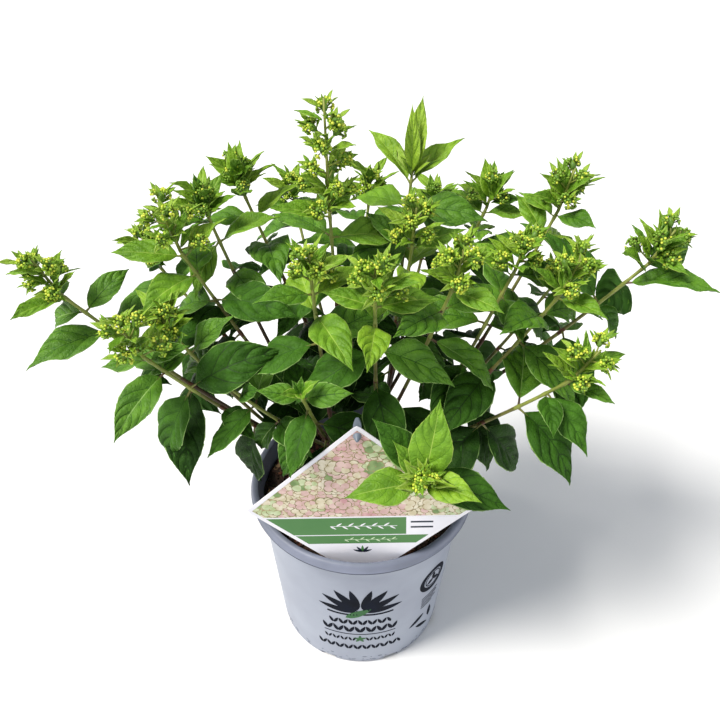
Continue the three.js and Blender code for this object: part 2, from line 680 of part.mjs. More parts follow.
const holder = makeHolder();
const holderCutter = new THREE.BoxGeometry(HOLDER_WIDTH + 2 * GAP, HOLDER_THICKNESS + 2 * GAP, 100);
const holderMiddle = pegPlace().y + CARD_THICKNESS / 2 + GAP + HOLDER_THICKNESS / 2;
holderCutter.translate(pegPlace().x, holderMiddle, HOLDER_FOOT - GAP + 50);
const { stool, canes } = makePlant(holder);
addNode("pot", makePot(), FINISH.pot);
addNode("potting_bark", makeSoil([makeCard(GAP), solidOfGeometry(holderCutter)]), FINISH.soil);
addNode("label_card", makeCard(0).subtract(pegRod(PEG_RADIUS + GAP, -5, 5)), FINISH.card);
addNode("label_holder", holder, FINISH.holder);
addNode("stool", stool, FINISH.wood);
for (const [name, cane] of Object.entries(canes)) {
  addNode("cane_" + name, cane.solid, FINISH.wood);
  addNode("shoots_" + name, cane.mass, FINISH.foliage);
}

export default plant;
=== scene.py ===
import math
import bpy
import bmesh
import numpy as np
from mathutils import Matrix, Vector
from mathutils.bvhtree import BVHTree


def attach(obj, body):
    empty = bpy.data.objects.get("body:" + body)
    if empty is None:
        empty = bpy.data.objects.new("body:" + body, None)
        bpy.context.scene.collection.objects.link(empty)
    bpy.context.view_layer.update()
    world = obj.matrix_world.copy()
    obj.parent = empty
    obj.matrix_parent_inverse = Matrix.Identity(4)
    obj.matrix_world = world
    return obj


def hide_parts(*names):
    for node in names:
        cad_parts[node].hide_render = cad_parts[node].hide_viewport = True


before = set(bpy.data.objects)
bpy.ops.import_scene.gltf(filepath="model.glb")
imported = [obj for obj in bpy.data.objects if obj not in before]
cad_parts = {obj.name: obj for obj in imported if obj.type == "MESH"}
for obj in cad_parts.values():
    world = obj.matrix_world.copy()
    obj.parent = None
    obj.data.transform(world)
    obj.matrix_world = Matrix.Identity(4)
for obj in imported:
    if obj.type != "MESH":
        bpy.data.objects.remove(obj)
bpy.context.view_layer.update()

# A potted panicle hydrangea in bud. The shoots grow by the rule of the part's source, in its millimetres,
# and every mesh is then written in metres. The front of the pot, where the label stands, faces -Y.
MM = 0.001
UP = np.array([0.0, 0.0, 1.0])
LEAN_TO_FRONT = np.array([0.0, -0.6, 0.0])

# Sizes that the source states too
GAP = 0.3
POT_HEIGHT = 200
LIP_TOP_RADIUS = 111
LIP_LOW_RADIUS = 113
LIP_HEIGHT = 11
LIP_ROLL = 2
MOUTH_RADIUS = 105.5
SHOULDER_RADIUS = 104.5
SHOULDER_DROP = 25
SHOULDER_STEP = 1.2
FOOT_RADIUS = 88
FOOT_CHAMFER = 3
POT_WALL = 1.8
POT_FLOOR = 2.6
DRAIN_COUNT = 8
DRAIN_WIDTH = 16
DRAIN_HEIGHT = 6
SOIL_TOP = 182
STOOL_HEIGHT = 30
STOOL_FOOT_RADIUS = 21
STOOL_TOP_RADIUS = 13
STOOL_OUTLINE = (
    (0, 1),
    (0.22, 0.8),
    (0.55, STOOL_TOP_RADIUS * 1.08 / STOOL_FOOT_RADIUS),
    (0.85, STOOL_TOP_RADIUS / STOOL_FOOT_RADIUS),
    (1, STOOL_TOP_RADIUS * 0.6 / STOOL_FOOT_RADIUS),
)
CANE_FOOT_RADIUS = 4.2
CANE_TIP_RADIUS = 3.1
CANE_FACETS = 6
CANE_STEPS = 4
FORK_SHARE = 0.3
KNUCKLE_LENGTH = 7
SAG = 0.065
LINE_STEPS = 200
SHOOT_FOOT_RADIUS = 3.2
SHOOT_TIP_RADIUS = 2.1
SHOOT_FACETS = 3
SHOOT_STEPS = 4
PAIR_BELOW_TIP = (8, 28, 58, 98, 142, 186)
PAIR_LENGTH = (48, 66, 80, 84, 80, 72)
PAIR_ANGLE = (60, 62, 66, 70, 72, 76)
PAIR_WEIGHT = (0.05, 0.2, 0.36, 0.45, 0.5, 0.5)
PAIR_CURL = (0.35, 0.55, 0.8, 0.9, 0.95, 0.95)
PAIR_OFFSET = 1.3
PAIR_TURN_SPREAD = 24
PAIR_ANGLE_SPREAD = 16
LEAF_WIDTH = 0.45
LEAF_THICKNESS = 0.014
LEAF_FOOT = 2.2
BLADE_START = 0.22
BRACT_WIDTH = 0.32
FOOT_CLEAR = 26
# Turn, lift and size that a leaf tries, one after the other, until it is clear of the rest
TRIES = (
    (0, 0, 1), (20, 0, 1), (-20, 0, 1), (0, -16, 1),
    (0, 16, 1), (38, -8, 0.9), (-38, -8, 0.9), (0, -30, 0.8),
)
HEAD_REACH = 25
KNOT_RADIUS = 7.6
BELLY_SHARE = 0.62
BRACT_LENGTH = 30
BRACT_ANGLE = 58
BRACT_CURL = 0.3
BRACT_TURN = 62
GOLDEN_TURN = 137.5
CARD_SIDE = 143
CARD_THICKNESS = 0.8
CARD_CENTRE = np.array([-1.0, -96.0, 262.0])
CARD_ROLL = 2.3
PEG_BELOW_CORNER = 16
PEG_HEAD = (9, 6, 9)
HOLDER_WIDTH = 7
HOLDER_THICKNESS = 2.4
HOLDER_ABOVE_CORNER = 6
HOLDER_FOOT = 150
LABEL_VIEW_TOP = 276
LABEL_VIEW_DEPTH = 120
POT_CLEAR = 0.5
CANES = {
    "west": (186, 12),
    "northwest": (142, 19),
    "north": (98, 13),
    "northeast": (58, 20),
    "east": (8, 13),
    "southeast": (322, 19),
    "south": (276, 12),
    "southwest": (230, 20),
}
# Each shoot: its cane, where its stem ends, leaf pairs, turn of the first pair, leaf size, head height.
# In place of the height stands -1 for a bare tip, or the name of a tuft.
SHOOTS = (
    ("west", -258, -2, 424, 5, 20, 1.1, 34),
    ("west", -177, -62, 404, 5, 60, 1.0, 40),
    ("west", -163, -22, 398, 3, 10, 0.8, 18),
    ("northwest", -157, 25, 450, 5, 70, 1.0, 46),
    ("northwest", -141, 75, 458, 4, 25, 0.9, 14),
    ("northwest", -205, 110, 385, 5, 45, 1.0, 28),
    ("north", -116, 125, 457, 5, 60, 1.0, 24),
    ("north", -31, 62, 471, 5, 15, 1.05, 96),
    ("north", -75, 205, 405, 5, 35, 1.0, 18),
    ("north", 5, 170, 430, 4, 70, 1.0, 14),
    ("northeast", 42, 50, 445, 5, 80, 1.0, 34),
    ("northeast", 42, 108, 479, 5, 85, 1.05, "tall"),
    ("northeast", 116, 120, 445, 5, 40, 1.0, 22),
    ("northeast", 75, 225, 385, 5, 20, 1.0, 16),
    ("east", 174, 83, 462, 5, 10, 1.0, 38),
    ("east", 242, 20, 446, 5, 75, 1.2, 34),
    ("east", 200, 125, 365, 5, 55, 1.0, 28),
    ("southeast", 165, -5, 431, 5, 30, 1.0, 36),
    ("southeast", 170, -62, 384, 5, 50, 1.05, 38),
    ("southeast", 127, 10, 445, 4, 85, 0.95, 28),
    ("southeast", 47, -132, 333, 0, 85, 0.95, "star"),
    ("south", 8, -58, 457, 5, 10, 1.0, 34),
    ("south", 71, -30, 454, 5, 55, 1.0, 32),
    ("southwest", -41, -38, 455, 5, 75, 1.0, 30),
    ("southwest", -110, -50, 358, 4, 35, 0.85, -1),
    ("southwest", -50, -80, 380, 4, 20, 0.9, -1),
)
# Tufts: the sag of the shoot, the axis, and each leaf's turn, angle, length, width share, drop and age
TUFT_CURL = 0.35
TUFTS = {
    "tall": (SAG, (0.03, 0.1, 1), (
        (330, 45, 68, 0.36, 6, 5), (225, 45, 66, 0.36, 5, 5),
        (260, 10, 73, 0.3, 1, 6), (65, 5, 64, 0.26, 0, 6))),
    "star": (-0.2, (0, -0.35, 1), (
        (195, 75, 63, 0.46, 4, 4), (330, 55, 54, 0.46, 5, 5), (70, 30, 72, 0.46, 1, 4),
        (135, 35, 45, 0.36, 2, 4), (340, 85, 76, 0.42, 14, 1), (140, 40, 62, 0.44, 15, 2))),
}
# Leaves that hang another way than the rule gives: (shoot, pair, side): turn, lift and size
BENT_LEAVES = {
    (0, 1, 0): (15, -15, 0.7),
    (0, 1, 1): (-45, 0, 0.8),
    (0, 2, 0): (-65, -5, 0.8),
    (0, 2, 1): (-25, 40, 1),
    (0, 3, 0): (-55, -15, 0.8),
    (1, 1, 1): (-10, 5, 1),
    (1, 2, 0): (30, -25, 1),
    (1, 3, 0): (90, 10, 0.55),
    (1, 4, 1): (50, -40, 1.1),
    (3, 0, 1): (30, 20, 1.2),
    (4, 1, 1): (45, -40, 0.9),
    (14, 0, 1): (-10, -10, 0.9),
    (14, 1, 0): (-75, 20, 0.9),
    (15, 0, 0): (20, -10, 1),
    (15, 0, 1): (55, 20, 1),
    (15, 1, 0): (40, 35, 1),
    (15, 1, 1): (-25, -40, 1.1),
    (15, 2, 0): (15, -5, 0.6),
    (18, 0, 1): (5, 20, 0.8),
    (18, 1, 0): (40, 0, 0.7),
    (18, 1, 1): (-85, -5, 0.9),
    (18, 2, 0): (15, 30, 0.9),
    (18, 3, 0): (-40, 0, 1.1),
}
ROOT_HEIGHT = SOIL_TOP + GAP


def chance(a, b, c):
    """A repeatable number from 0 to 1 for three whole numbers."""
    x = math.sin(a * 12.9898 + b * 78.233 + c * 37.719) * 43758.5453
    return x - math.floor(x)


def vector(x, y, z):
    """A place or a direction."""
    return np.array([x, y, z], dtype=float)


def unit(v):
    """A direction at a length of one."""
    return v / np.linalg.norm(v)


def sideways(axis):
    """Two directions square to an axis and to each other."""
    side = unit(np.cross(axis, UP if abs(axis[2]) < 0.9 else vector(1, 0, 0)))
    return side, np.cross(axis, side)


# The rule of growth

class Stem:
    """The line of a stem, sagging a little, with places told by their share of its length."""

    def __init__(self, start, end, sag=SAG):
        self.start = start
        self.end = end
        self.middle = (start + end) / 2 - UP * sag * np.linalg.norm(end - start)
        places = np.array([self.at(i / LINE_STEPS) for i in range(LINE_STEPS + 1)])
        steps = np.linalg.norm(np.diff(places, axis=0), axis=1)
        self.run = np.concatenate([[0.0], np.cumsum(steps)])
        self.length = self.run[-1]

    def at(self, t):
        return (1 - t) ** 2 * self.start + 2 * t * (1 - t) * self.middle + t * t * self.end

    def parameter(self, share):
        return float(np.interp(share * self.length, self.run, np.linspace(0, 1, LINE_STEPS + 1)))

    def point(self, share):
        return self.at(self.parameter(share))

    def heading(self, share):
        t = self.parameter(share)
        return unit(self.at(min(t + 1e-4, 1)) - self.at(max(t - 1e-4, 0)))

    def frames(self, steps):
        """Sideways directions at even steps, turned no more than the line itself turns."""
        headings = [self.heading(i / steps) for i in range(steps + 1)]
        least = int(np.argmin(np.abs(headings[0][::-1])))
        axis = np.eye(3)[2 - least]
        normal = np.cross(headings[0], unit(np.cross(headings[0], axis)))
        sides = []
        for i, heading in enumerate(headings):
            if i:
                turn = np.cross(headings[i - 1], heading)
                size = np.linalg.norm(turn)
                if size > 1e-9:
                    angle = math.acos(max(-1, min(1, float(headings[i - 1] @ heading))))
                    normal = np.array(Matrix.Rotation(angle, 3, Vector(turn / size)) @ Vector(normal))
            sides.append((normal, np.cross(heading, normal)))
        return sides


def skin(sections):
    """A closed triangle skin through sections, each a ring of as many points or, at the ends, one point."""
    points = np.concatenate([np.array(section) for section in sections])
    faces = []
    start = 0
    for here, there in zip(sections, sections[1:]):
        count = max(len(here), len(there))
        onward = start + len(here)
        for i in range(count):
            j = (i + 1) % count
            a, b = (start + i, start + j) if len(here) > 1 else (start, start)
            c, d = (onward + i, onward + j) if len(there) > 1 else (onward, onward)
            faces += [(a, b, d), (a, d, c)]
        start = onward
    faces += [(0, i + 1, i) for i in range(1, len(sections[0]) - 1)]
    faces += [(start, start + i, start + i + 1) for i in range(1, len(sections[-1]) - 1)]
    return points, [f for f in faces if len(set(f)) == 3]


def tube(stem, foot_radius, tip_radius, facets, steps):
    """The plain tapering tube that a stem is in the source."""
    angles = [2 * math.pi * i / facets for i in range(facets)]
    sections = []
    for s, (side, other) in enumerate(stem.frames(steps)):
        radius = foot_radius + (tip_radius - foot_radius) * s / steps
        centre = stem.point(s / steps)
        ring = [centre + side * math.cos(a) * radius + other * math.sin(a) * radius for a in angles]
        sections.append(ring)
    return skin(sections)


def leaf_line(leaf, share):
    """Where a leaf's middle line has come to, and which way its upper face looks there."""
    angle = leaf["curl"] * share
    along = leaf["length"] * np.sin(angle) / leaf["curl"]
    down = leaf["length"] * (1 - np.cos(angle)) / leaf["curl"]
    point = leaf["root"] + leaf["aim"] * along - leaf["face"] * down
    return point, leaf["face"] * np.cos(angle) + leaf["aim"] * np.sin(angle)


def leaf_wedge(leaf, margin=0.0, start=0.0):
    """The plain blade with a keel that a leaf is in the source."""
    across = np.cross(leaf["aim"], leaf["face"])
    if leaf["small"]:
        stations = ((start, 0.6 if start else 0), (0.44, 1.08))
    else:
        stations = ((start, 0.75 if start else 0), (0.28, 0.92), (0.6, 0.9))
    sections = []
    for share, spread in stations:
        point, face = leaf_line(leaf, share)
        half = max(leaf["width"] / 2 * spread, LEAF_FOOT / 2) + margin
        keel = max(leaf["length"] * LEAF_THICKNESS, LEAF_FOOT * 0.8 if share == 0 else 0.8)
        rise = point + face * (keel / 2 + margin)
        sections.append([rise - across * half, point - face * (keel / 2 + margin), rise + across * half])
    sections.append([leaf_line(leaf, 1)[0]])
    return skin(sections)


def knot_drop(root, tip, radius):
    """The plain drop that a knot of buds is in the source."""
    side, other = sideways(unit(tip - root))
    belly = root + (tip - root) * BELLY_SHARE
    outs = [side, other, -side, -other]
    return skin([[root + out * 0.8 for out in outs], [belly + out * radius for out in outs], [tip]])


# Everything that a new leaf has to be clear of: a search tree, its box, its shoot, and a test for its inside
placed = []


def place(shape, shoot, holds=None):
    """Puts down a shape for a shoot, or for none of them with -1."""
    points, faces = shape
    tree = BVHTree.FromPolygons(points.tolist(), faces, all_triangles=True)
    placed.append((tree, points.min(0), points.max(0), shoot, holds))


def is_clear(shape, shoot, own):
    """Whether a shape is clear of what is placed for this shoot, or of what is placed for the others."""
    points, faces = shape
    low, high = points.min(0), points.max(0)
    tree = None
    for other, other_low, other_high, owner, holds in placed:
        if (owner == shoot) != own or (low > other_high).any() or (other_low > high).any():
            continue
        if holds and any(holds(p) for p in points):
            return False
        tree = tree or BVHTree.FromPolygons(points.tolist(), faces, all_triangles=True)
        if tree.overlap(other):
            return False
    return True


def leaf_at(root, heading, turn, angle, weight, curl, length, width, small):
    """A leaf that springs from a stem at a turn about it, at an angle off it, and sinks by its weight."""
    level = unit(np.cross(UP, heading))
    rising = np.cross(heading, level)
    out = level * math.cos(math.radians(turn)) + rising * math.sin(math.radians(turn))
    aim = out * math.sin(math.radians(angle)) + heading * math.cos(math.radians(angle))
    aim = unit(aim - UP * weight)
    light = heading * 0.7 + UP + LEAN_TO_FRONT
    face = unit(light - aim * (light @ aim))
    return dict(root=root, aim=aim, face=face, curl=curl, length=length, width=width, small=small)


def fitting_leaf(shoot, make):
    """The leaf in the first of a few turns that is clear of everything else, or nothing."""
    for turn, lift, scale in TRIES:
        leaf = make(turn, lift, scale)
        if not is_clear(leaf_wedge(leaf, GAP), shoot, False):
            continue
        if is_clear(leaf_wedge(leaf, 0, BLADE_START), shoot, True):
            return leaf
    return None


def box_shape(size, matrix):
    """A box of some size about the origin, moved by a matrix."""
    corners = [Vector((x, y, z)) for x in (-0.5, 0.5) for y in (-0.5, 0.5) for z in (-0.5, 0.5)]
    points = np.array([matrix @ Vector([a * b for a, b in zip(c, size)]) for c in corners])
    quads = ((0, 1, 3, 2), (4, 6, 7, 5), (0, 4, 5, 1), (2, 3, 7, 6), (0, 2, 6, 4), (1, 5, 7, 3))
    return points, [f for a, b, c, d in quads for f in ((a, b, c), (a, c, d))]


def card_matrix():
    """Stands the card on its corner, a little rolled."""
    return Matrix.Translation(CARD_CENTRE) @ Matrix.Rotation(math.radians(45 - CARD_ROLL), 4, "Y")


def peg_place():
    """Where the holder's peg goes through the card, near its top corner."""
    reach = CARD_SIDE / 2 - PEG_BELOW_CORNER / 2
    return np.array(card_matrix() @ Vector((-reach, 0, reach)))


def place_obstacles():
    """Puts down the pot, the card, the view of the card from the front, the stake and the peg."""
    ring = [(math.cos(a), math.sin(a)) for a in np.linspace(0, 2 * math.pi, 24, endpoint=False)]
    wide = LIP_LOW_RADIUS + 1
    high = POT_HEIGHT + POT_CLEAR
    drum = [[vector(wide * c, wide * s, z) for c, s in ring] for z in (-POT_CLEAR, high)]
    place(skin(drum), -1, lambda p: math.hypot(p[0], p[1]) < wide and p[2] < high)
    grown = [CARD_SIDE + 2 * GAP, CARD_THICKNESS + 2 * GAP, CARD_SIDE + 2 * GAP]
    place(box_shape(grown, card_matrix()), -1)
    front = CARD_CENTRE[1]
    near = front - LABEL_VIEW_DEPTH
    view = Matrix.Translation((0, (front + near) / 2, LABEL_VIEW_TOP / 2))
    place(box_shape((2 * LIP_LOW_RADIUS, LABEL_VIEW_DEPTH, LABEL_VIEW_TOP), view), -1,
          lambda p: abs(p[0]) < LIP_LOW_RADIUS and near < p[1] < front and p[2] < LABEL_VIEW_TOP)
    peg = peg_place()
    back = CARD_THICKNESS / 2 + GAP
    top = peg[2] + PEG_BELOW_CORNER / 2 + HOLDER_ABOVE_CORNER + 6
    middle = Matrix.Translation((peg[0], peg[1] + back + HOLDER_THICKNESS / 2, (top + HOLDER_FOOT) / 2))
    place(box_shape((HOLDER_WIDTH, HOLDER_THICKNESS, top - HOLDER_FOOT), middle), -1)
    place(box_shape(PEG_HEAD, Matrix.Translation(Vector(peg) + Vector((0, -2, 0)))), -1)


def flower_head(shoot, tip, heading, turn, height):
    """The knots of buds and the bracts of one flower head."""
    axis = unit(heading * 0.7 + UP * 0.5)
    crown = tip + axis * height
    shapes = [tube(Stem(tip - heading * 2, crown, 0), SHOOT_TIP_RADIUS, 1.5, SHOOT_FACETS, 1)]
    count = max(4, math.floor(2 + height / 9 + 0.5))
    level = unit(np.cross(UP, axis))
    rising = np.cross(axis, level)
    knots = []
    wanted = []
    for k in range(count):
        share = k / (count - 1)
        root = tip + axis * (height * 0.8 * share)
        a = math.radians(turn + k * GOLDEN_TURN)
        out = level * math.cos(a) + rising * math.sin(a)
        reach = HEAD_REACH * (1 - 0.55 * share) * (0.8 + 0.4 * chance(shoot, k, 5))
        reach *= min(1.3, 0.4 + height / 50)
        end = root + out * reach + axis * (10 + 5 * share)
        radius = KNOT_RADIUS * (0.85 + 0.3 * chance(shoot, k, 7))
        shape = knot_drop(root, end, radius)
        if is_clear(shape, shoot, False):
            shapes.append(shape)
            knots.append((root, end, radius))
        if k % 2 == 0:
            length = BRACT_LENGTH * (0.8 + 0.7 * chance(shoot, k, 6)) * (1 - 0.3 * share)
            wanted.append((root, turn + k * GOLDEN_TURN + BRACT_TURN, length))
    for shape in shapes:
        place(shape, shoot)
    bracts = []
    for root, around, length in wanted:
        def make(dt, lift, scale):
            return leaf_at(root, axis, around + dt, BRACT_ANGLE - lift, 0, BRACT_CURL,
                           length * scale, length * BRACT_WIDTH, True)
        bract = fitting_leaf(shoot, make)
        if bract:
            place(leaf_wedge(bract), shoot)
            bracts.append(bract)
    return axis, crown, knots, bracts


def leaf_tuft(shoot, tip, heading, axis, rows):
    """The leaves of a tuft, placed one by one."""
    axis = unit(vector(*axis))
    leaves = []
    for turn, angle, length, spread, below, age in rows:
        root = tip - heading * below
        leaf = leaf_at(root, axis, turn, angle, 0, TUFT_CURL, length, length * spread, False)
        leaf["age"] = age
        leaves.append(leaf)
    for leaf in leaves:
        place(leaf_wedge(leaf), shoot)
    return axis, leaves


def stool_lobe(a):
    """How far the stool bulges at an angle round it, as a share of its radius."""
    return 1 + 0.12 * math.sin(3 * a + 0.6)


def grow():
    """Canes, shoots, heads and leaves, in the order in which the source grows them."""
    place_obstacles()
    lobed = []
    for height, spread in STOOL_OUTLINE:
        ring = []
        for i in range(10):
            a = 2 * math.pi * i / 10
            r = STOOL_FOOT_RADIUS * spread * stool_lobe(a)
            ring.append(vector(r * math.cos(a), r * math.sin(a), ROOT_HEIGHT + STOOL_HEIGHT * height))
        lobed.append(ring)
    place(skin(lobed), -1)
    canes = {}
    for name, (turn, rise) in CANES.items():
        carried = [vector(*row[1:4]) for row in SHOOTS if row[0] == name]
        mean = sum(carried) / len(carried)
        out = vector(math.cos(math.radians(turn)), math.sin(math.radians(turn)), 0)
        foot = out * STOOL_TOP_RADIUS * 0.6
        foot[2] = ROOT_HEIGHT + rise
        fork = foot + (mean - foot) * FORK_SHARE - UP * 6
        line = Stem(foot, fork)
        canes[name] = dict(line=line, start=fork + line.heading(1) * (KNUCKLE_LENGTH - 1.2))
        place(tube(line, CANE_FOOT_RADIUS, CANE_TIP_RADIUS, CANE_FACETS, CANE_STEPS), -1)
    shoots = []
    for index, (cane, x, y, z, pairs, turn, size, head) in enumerate(SHOOTS):
        line = Stem(canes[cane]["start"], vector(x, y, z), TUFTS[head][0] if head in TUFTS else SAG)
        place(tube(line, SHOOT_FOOT_RADIUS, SHOOT_TIP_RADIUS, SHOOT_FACETS, SHOOT_STEPS), index)
        shoots.append(dict(index=index, cane=cane, line=line, pairs=pairs, turn=turn, size=size, head=head,
                           leaves=[], bracts=[], knots=[], tuft=[], nodes=[]))
    for shoot in shoots:
        tip, heading = shoot["line"].point(1), shoot["line"].heading(1)
        if shoot["head"] in TUFTS:
            shoot["axis"], shoot["tuft"] = leaf_tuft(shoot["index"], tip, heading, *TUFTS[shoot["head"]][1:])
        elif shoot["head"] > 0:
            made = flower_head(shoot["index"], tip, heading, shoot["turn"], shoot["head"])
            shoot.update(zip(("axis", "crown", "knots", "bracts"), made))
    for pair in range(len(PAIR_LENGTH)):
        for shoot in shoots:
            add_pair(shoot, pair)
    return canes, shoots


def add_pair(shoot, pair):
    """The leaves of a shoot's pair, counted from the tip, where they find room."""
    line, index = shoot["line"], shoot["index"]
    below = PAIR_BELOW_TIP[pair]
    in_tuft = pair == 0 and shoot["head"] in TUFTS
    if in_tuft or pair >= shoot["pairs"] or line.length - below < FOOT_CLEAR:
        return
    share = 1 - below / line.length
    heading = line.heading(share)
    shoot["nodes"].append(share)
    for side in (0, 1):
        root = line.point(share) + heading * side * PAIR_OFFSET
        def luck(k):
            return chance(index, pair * 2 + side, k)
        more_turn, lifted, larger = BENT_LEAVES.get((index, pair, side), (0, 0, 1))
        turn = shoot["turn"] + pair * 90 + side * 180 + PAIR_TURN_SPREAD * (luck(1) - 0.5) + more_turn
        angle = PAIR_ANGLE[pair] + PAIR_ANGLE_SPREAD * (luck(2) - 0.5) - lifted
        curl = PAIR_CURL[pair] * (0.7 + 0.6 * luck(3))
        size = PAIR_LENGTH[pair] * shoot["size"] * (0.86 + 0.28 * luck(4)) * larger
        def make(dt, lift, scale):
            return leaf_at(root, heading, turn + dt, angle - lift, PAIR_WEIGHT[pair], curl, size * scale,
                           size * scale * LEAF_WIDTH, pair < 1 or pair > 3)
        leaf = fitting_leaf(index, make)
        if leaf:
            place(leaf_wedge(leaf), index)
            leaf.update(pair=pair, luck=luck(9), tilt=luck(8))
            shoot["leaves"].append(leaf)


# Materials

def linear(code):
    """An sRGB hex value as a linear colour."""
    parts = [int(code[i:i + 2], 16) / 255 for i in (0, 2, 4)]
    return tuple(p / 12.92 if p <= 0.04045 else ((p + 0.055) / 1.055) ** 2.4 for p in parts) + (1.0,)


def add(tree, kind, sockets=(), **settings):
    """Adds a node, with its settings, and values or links for its sockets."""
    made = tree.nodes.new(kind)
    for name, value in settings.items():
        setattr(made, name, value)
    for key, value in dict(sockets).items():
        if isinstance(value, bpy.types.NodeSocket):
            tree.links.new(value, made.inputs[key])
        else:
            made.inputs[key].default_value = value
    return made


NET_DEPTH_MM = 0.35


def finish(name, light, dark, grain_mm, roughness, bump=None, stretch=(1, 1, 1), net_mm=0, **more):
    """A material whose colour drifts between two hex values over patches of grain_mm, with a fine bump.

    A net of fine veins, with meshes of net_mm, is sunk in it where that is given."""
    material = bpy.data.materials.new(name)
    material.use_nodes = True
    tree = material.node_tree
    shader = tree.nodes["Principled BSDF"]
    place_of = add(tree, "ShaderNodeTexCoord").outputs["Object"]
    laid = add(tree, "ShaderNodeMapping", {"Vector": place_of, "Scale": stretch}).outputs["Vector"]
    patches = add(tree, "ShaderNodeTexNoise", {"Vector": laid, "Scale": 1000 / grain_mm, "Detail": 3.0})
    ramp = add(tree, "ShaderNodeValToRGB", {"Fac": patches.outputs["Fac"]})
    ramp.color_ramp.elements[0].position = 0.36
    ramp.color_ramp.elements[0].color = linear(dark)
    ramp.color_ramp.elements[1].position = 0.66
    ramp.color_ramp.elements[1].color = linear(light)
    tree.links.new(ramp.outputs["Color"], shader.inputs["Base Color"])
    shader.inputs["Roughness"].default_value = roughness
    for key, value in more.items():
        shader.inputs[key.replace("_", " ")].default_value = value
    if bump:
        size_mm, depth_mm, strength = bump
        fine = add(tree, "ShaderNodeTexNoise", {"Vector": laid, "Scale": 1000 / size_mm, "Detail": 4.0})
        relief = add(tree, "ShaderNodeBump", {
            "Height": fine.outputs["Fac"], "Distance": depth_mm * MM, "Strength": strength})
        tree.links.new(relief.outputs["Normal"], shader.inputs["Normal"])
    if net_mm:
        cells = add(tree, "ShaderNodeTexVoronoi", {"Vector": laid, "Scale": 1000 / net_mm},
                    feature="DISTANCE_TO_EDGE")
        flat = add(tree, "ShaderNodeMapRange", {"Value": cells.outputs["Distance"], "From Max": 0.22})
        ridges = add(tree, "ShaderNodeBump", {
            "Height": flat.outputs["Result"], "Distance": NET_DEPTH_MM * MM, "Strength": 0.7})
        tree.links.new(relief.outputs["Normal"], ridges.inputs["Normal"])
        tree.links.new(ridges.outputs["Normal"], shader.inputs["Normal"])
    return material


# Leaf blades: a waxy skin with a dull gloss over a net of veins; the leaves darken as they age, and the
# oldest are the dullest
BLADES = [
    finish("leaf_blade_" + name, light, dark, grain_mm, roughness, bump, net_mm=3, Specular_IOR_Level=gloss)
    for name, light, dark, grain_mm, roughness, bump, gloss in (
        ("old_deep", "2b4e14", "1b380b", 12, 0.55, (2.6, 1.0, 0.8), 0.13),
        ("old", "386218", "264a0d", 13, 0.55, (2.6, 1.0, 0.8), 0.13),
        ("grown_cool", "467420", "325914", 12, 0.55, (2.6, 1.0, 0.8), 0.13),
        ("grown", "5d8c22", "457216", 13, 0.5, (2.6, 0.9, 0.75), 0.3),
        ("fresh", "75a227", "5a851a", 12, 0.5, (2.4, 0.8, 0.7), 0.3),
        ("young", "8ab12e", "6e961e", 10, 0.5, (2.2, 0.6, 0.6), 0.3),
        ("newest", "9abb3a", "80a52a", 9, 0.5, (2.2, 0.5, 0.5), 0.3),
    )
]
# The veins lie sunk in the upper skin; their materials are darker than it, a painted shade of the sunken
# grooves
VEIN_GROOVE_SHADES = [
    finish("leaf_vein_painted_shade_" + name, light, dark, 20, 0.55, Specular_IOR_Level=0.2)
    for name, light, dark in (
        ("old", "1e3a0e", "152c08"), ("grown", "2f5714", "24480e"), ("young", "5b8820", "4a7418"))
]
# Undersides are paler and matt, with fine down
UNDERSIDES = [
    finish("leaf_underside_" + name, light, dark, 18, 0.65, (1.5, 0.2, 0.4), Specular_IOR_Level=0.12)
    for name, light, dark in (("old", "44702a", "355c1f"), ("young", "769c3c", "628a2e"))
]
# Thin leaf margins and midribs let light through and look pale
RIBS = [
    finish("leaf_margin_" + name, light, dark, 12, 0.55, Specular_IOR_Level=0.3)
    for name, light, dark in (("old", "92b464", "789c4e"), ("young", "9dba52", "86a440"))
]
# All that a leaf is made of, and where its undersides, ribs and veins start in the list
LEAF_MATERIALS = BLADES + UNDERSIDES + RIBS + VEIN_GROOVE_SHADES
FIRST_UNDERSIDE = len(BLADES)
FIRST_RIB = FIRST_UNDERSIDE + len(UNDERSIDES)
FIRST_VEIN_SHADE = FIRST_RIB + len(RIBS)
# Skin of the shoots: green with a silky gloss, ripening to brown wood downwards
STEMS = [
    finish("shoot_skin_green", "939c48", "788436", 9, 0.5, (1.2, 0.15, 0.4)),
    finish("shoot_skin_olive", "7d7e3a", "62622a", 9, 0.52, (1.2, 0.15, 0.4)),
    finish("shoot_skin_tan", "624c30", "463522", 8, 0.55, (1.2, 0.2, 0.5)),
    finish("shoot_skin_russet", "6e4428", "52301c", 8, 0.55, (1.2, 0.2, 0.5)),
]
# Bark of the canes: thin grey-brown strips over cinnamon
BARK = finish("hydrangea_bark", "7a5a42", "4a3426", 5, 0.78, (1.6, 0.7, 0.8), (1, 1, 0.25))
OLD_BARK = finish("stool_bark", "6a4f3c", "3a2a20", 7, 0.85, (2.0, 0.9, 0.9), (1, 1, 0.35))
# Flower buds are smooth, hard and slightly shiny
BUDS = [
    finish("flower_bud_lime", "aecb3c", "92b42c", 3, 0.42),
    finish("flower_bud_yellow", "dfe656", "c8d440", 3, 0.4),
    finish("flower_bud_green", "84ac32", "6c9428", 3, 0.45),
]
# The green heart that shows between the buds of a knot
HEART = finish("bud_knot_heart", "68902c", "4f7620", 4, 0.55)


# Mesh helpers

def show(name, data):
    """A new object in the scene for some data."""
    made = bpy.data.objects.new(name, data)
    bpy.context.scene.collection.objects.link(made)
    return made


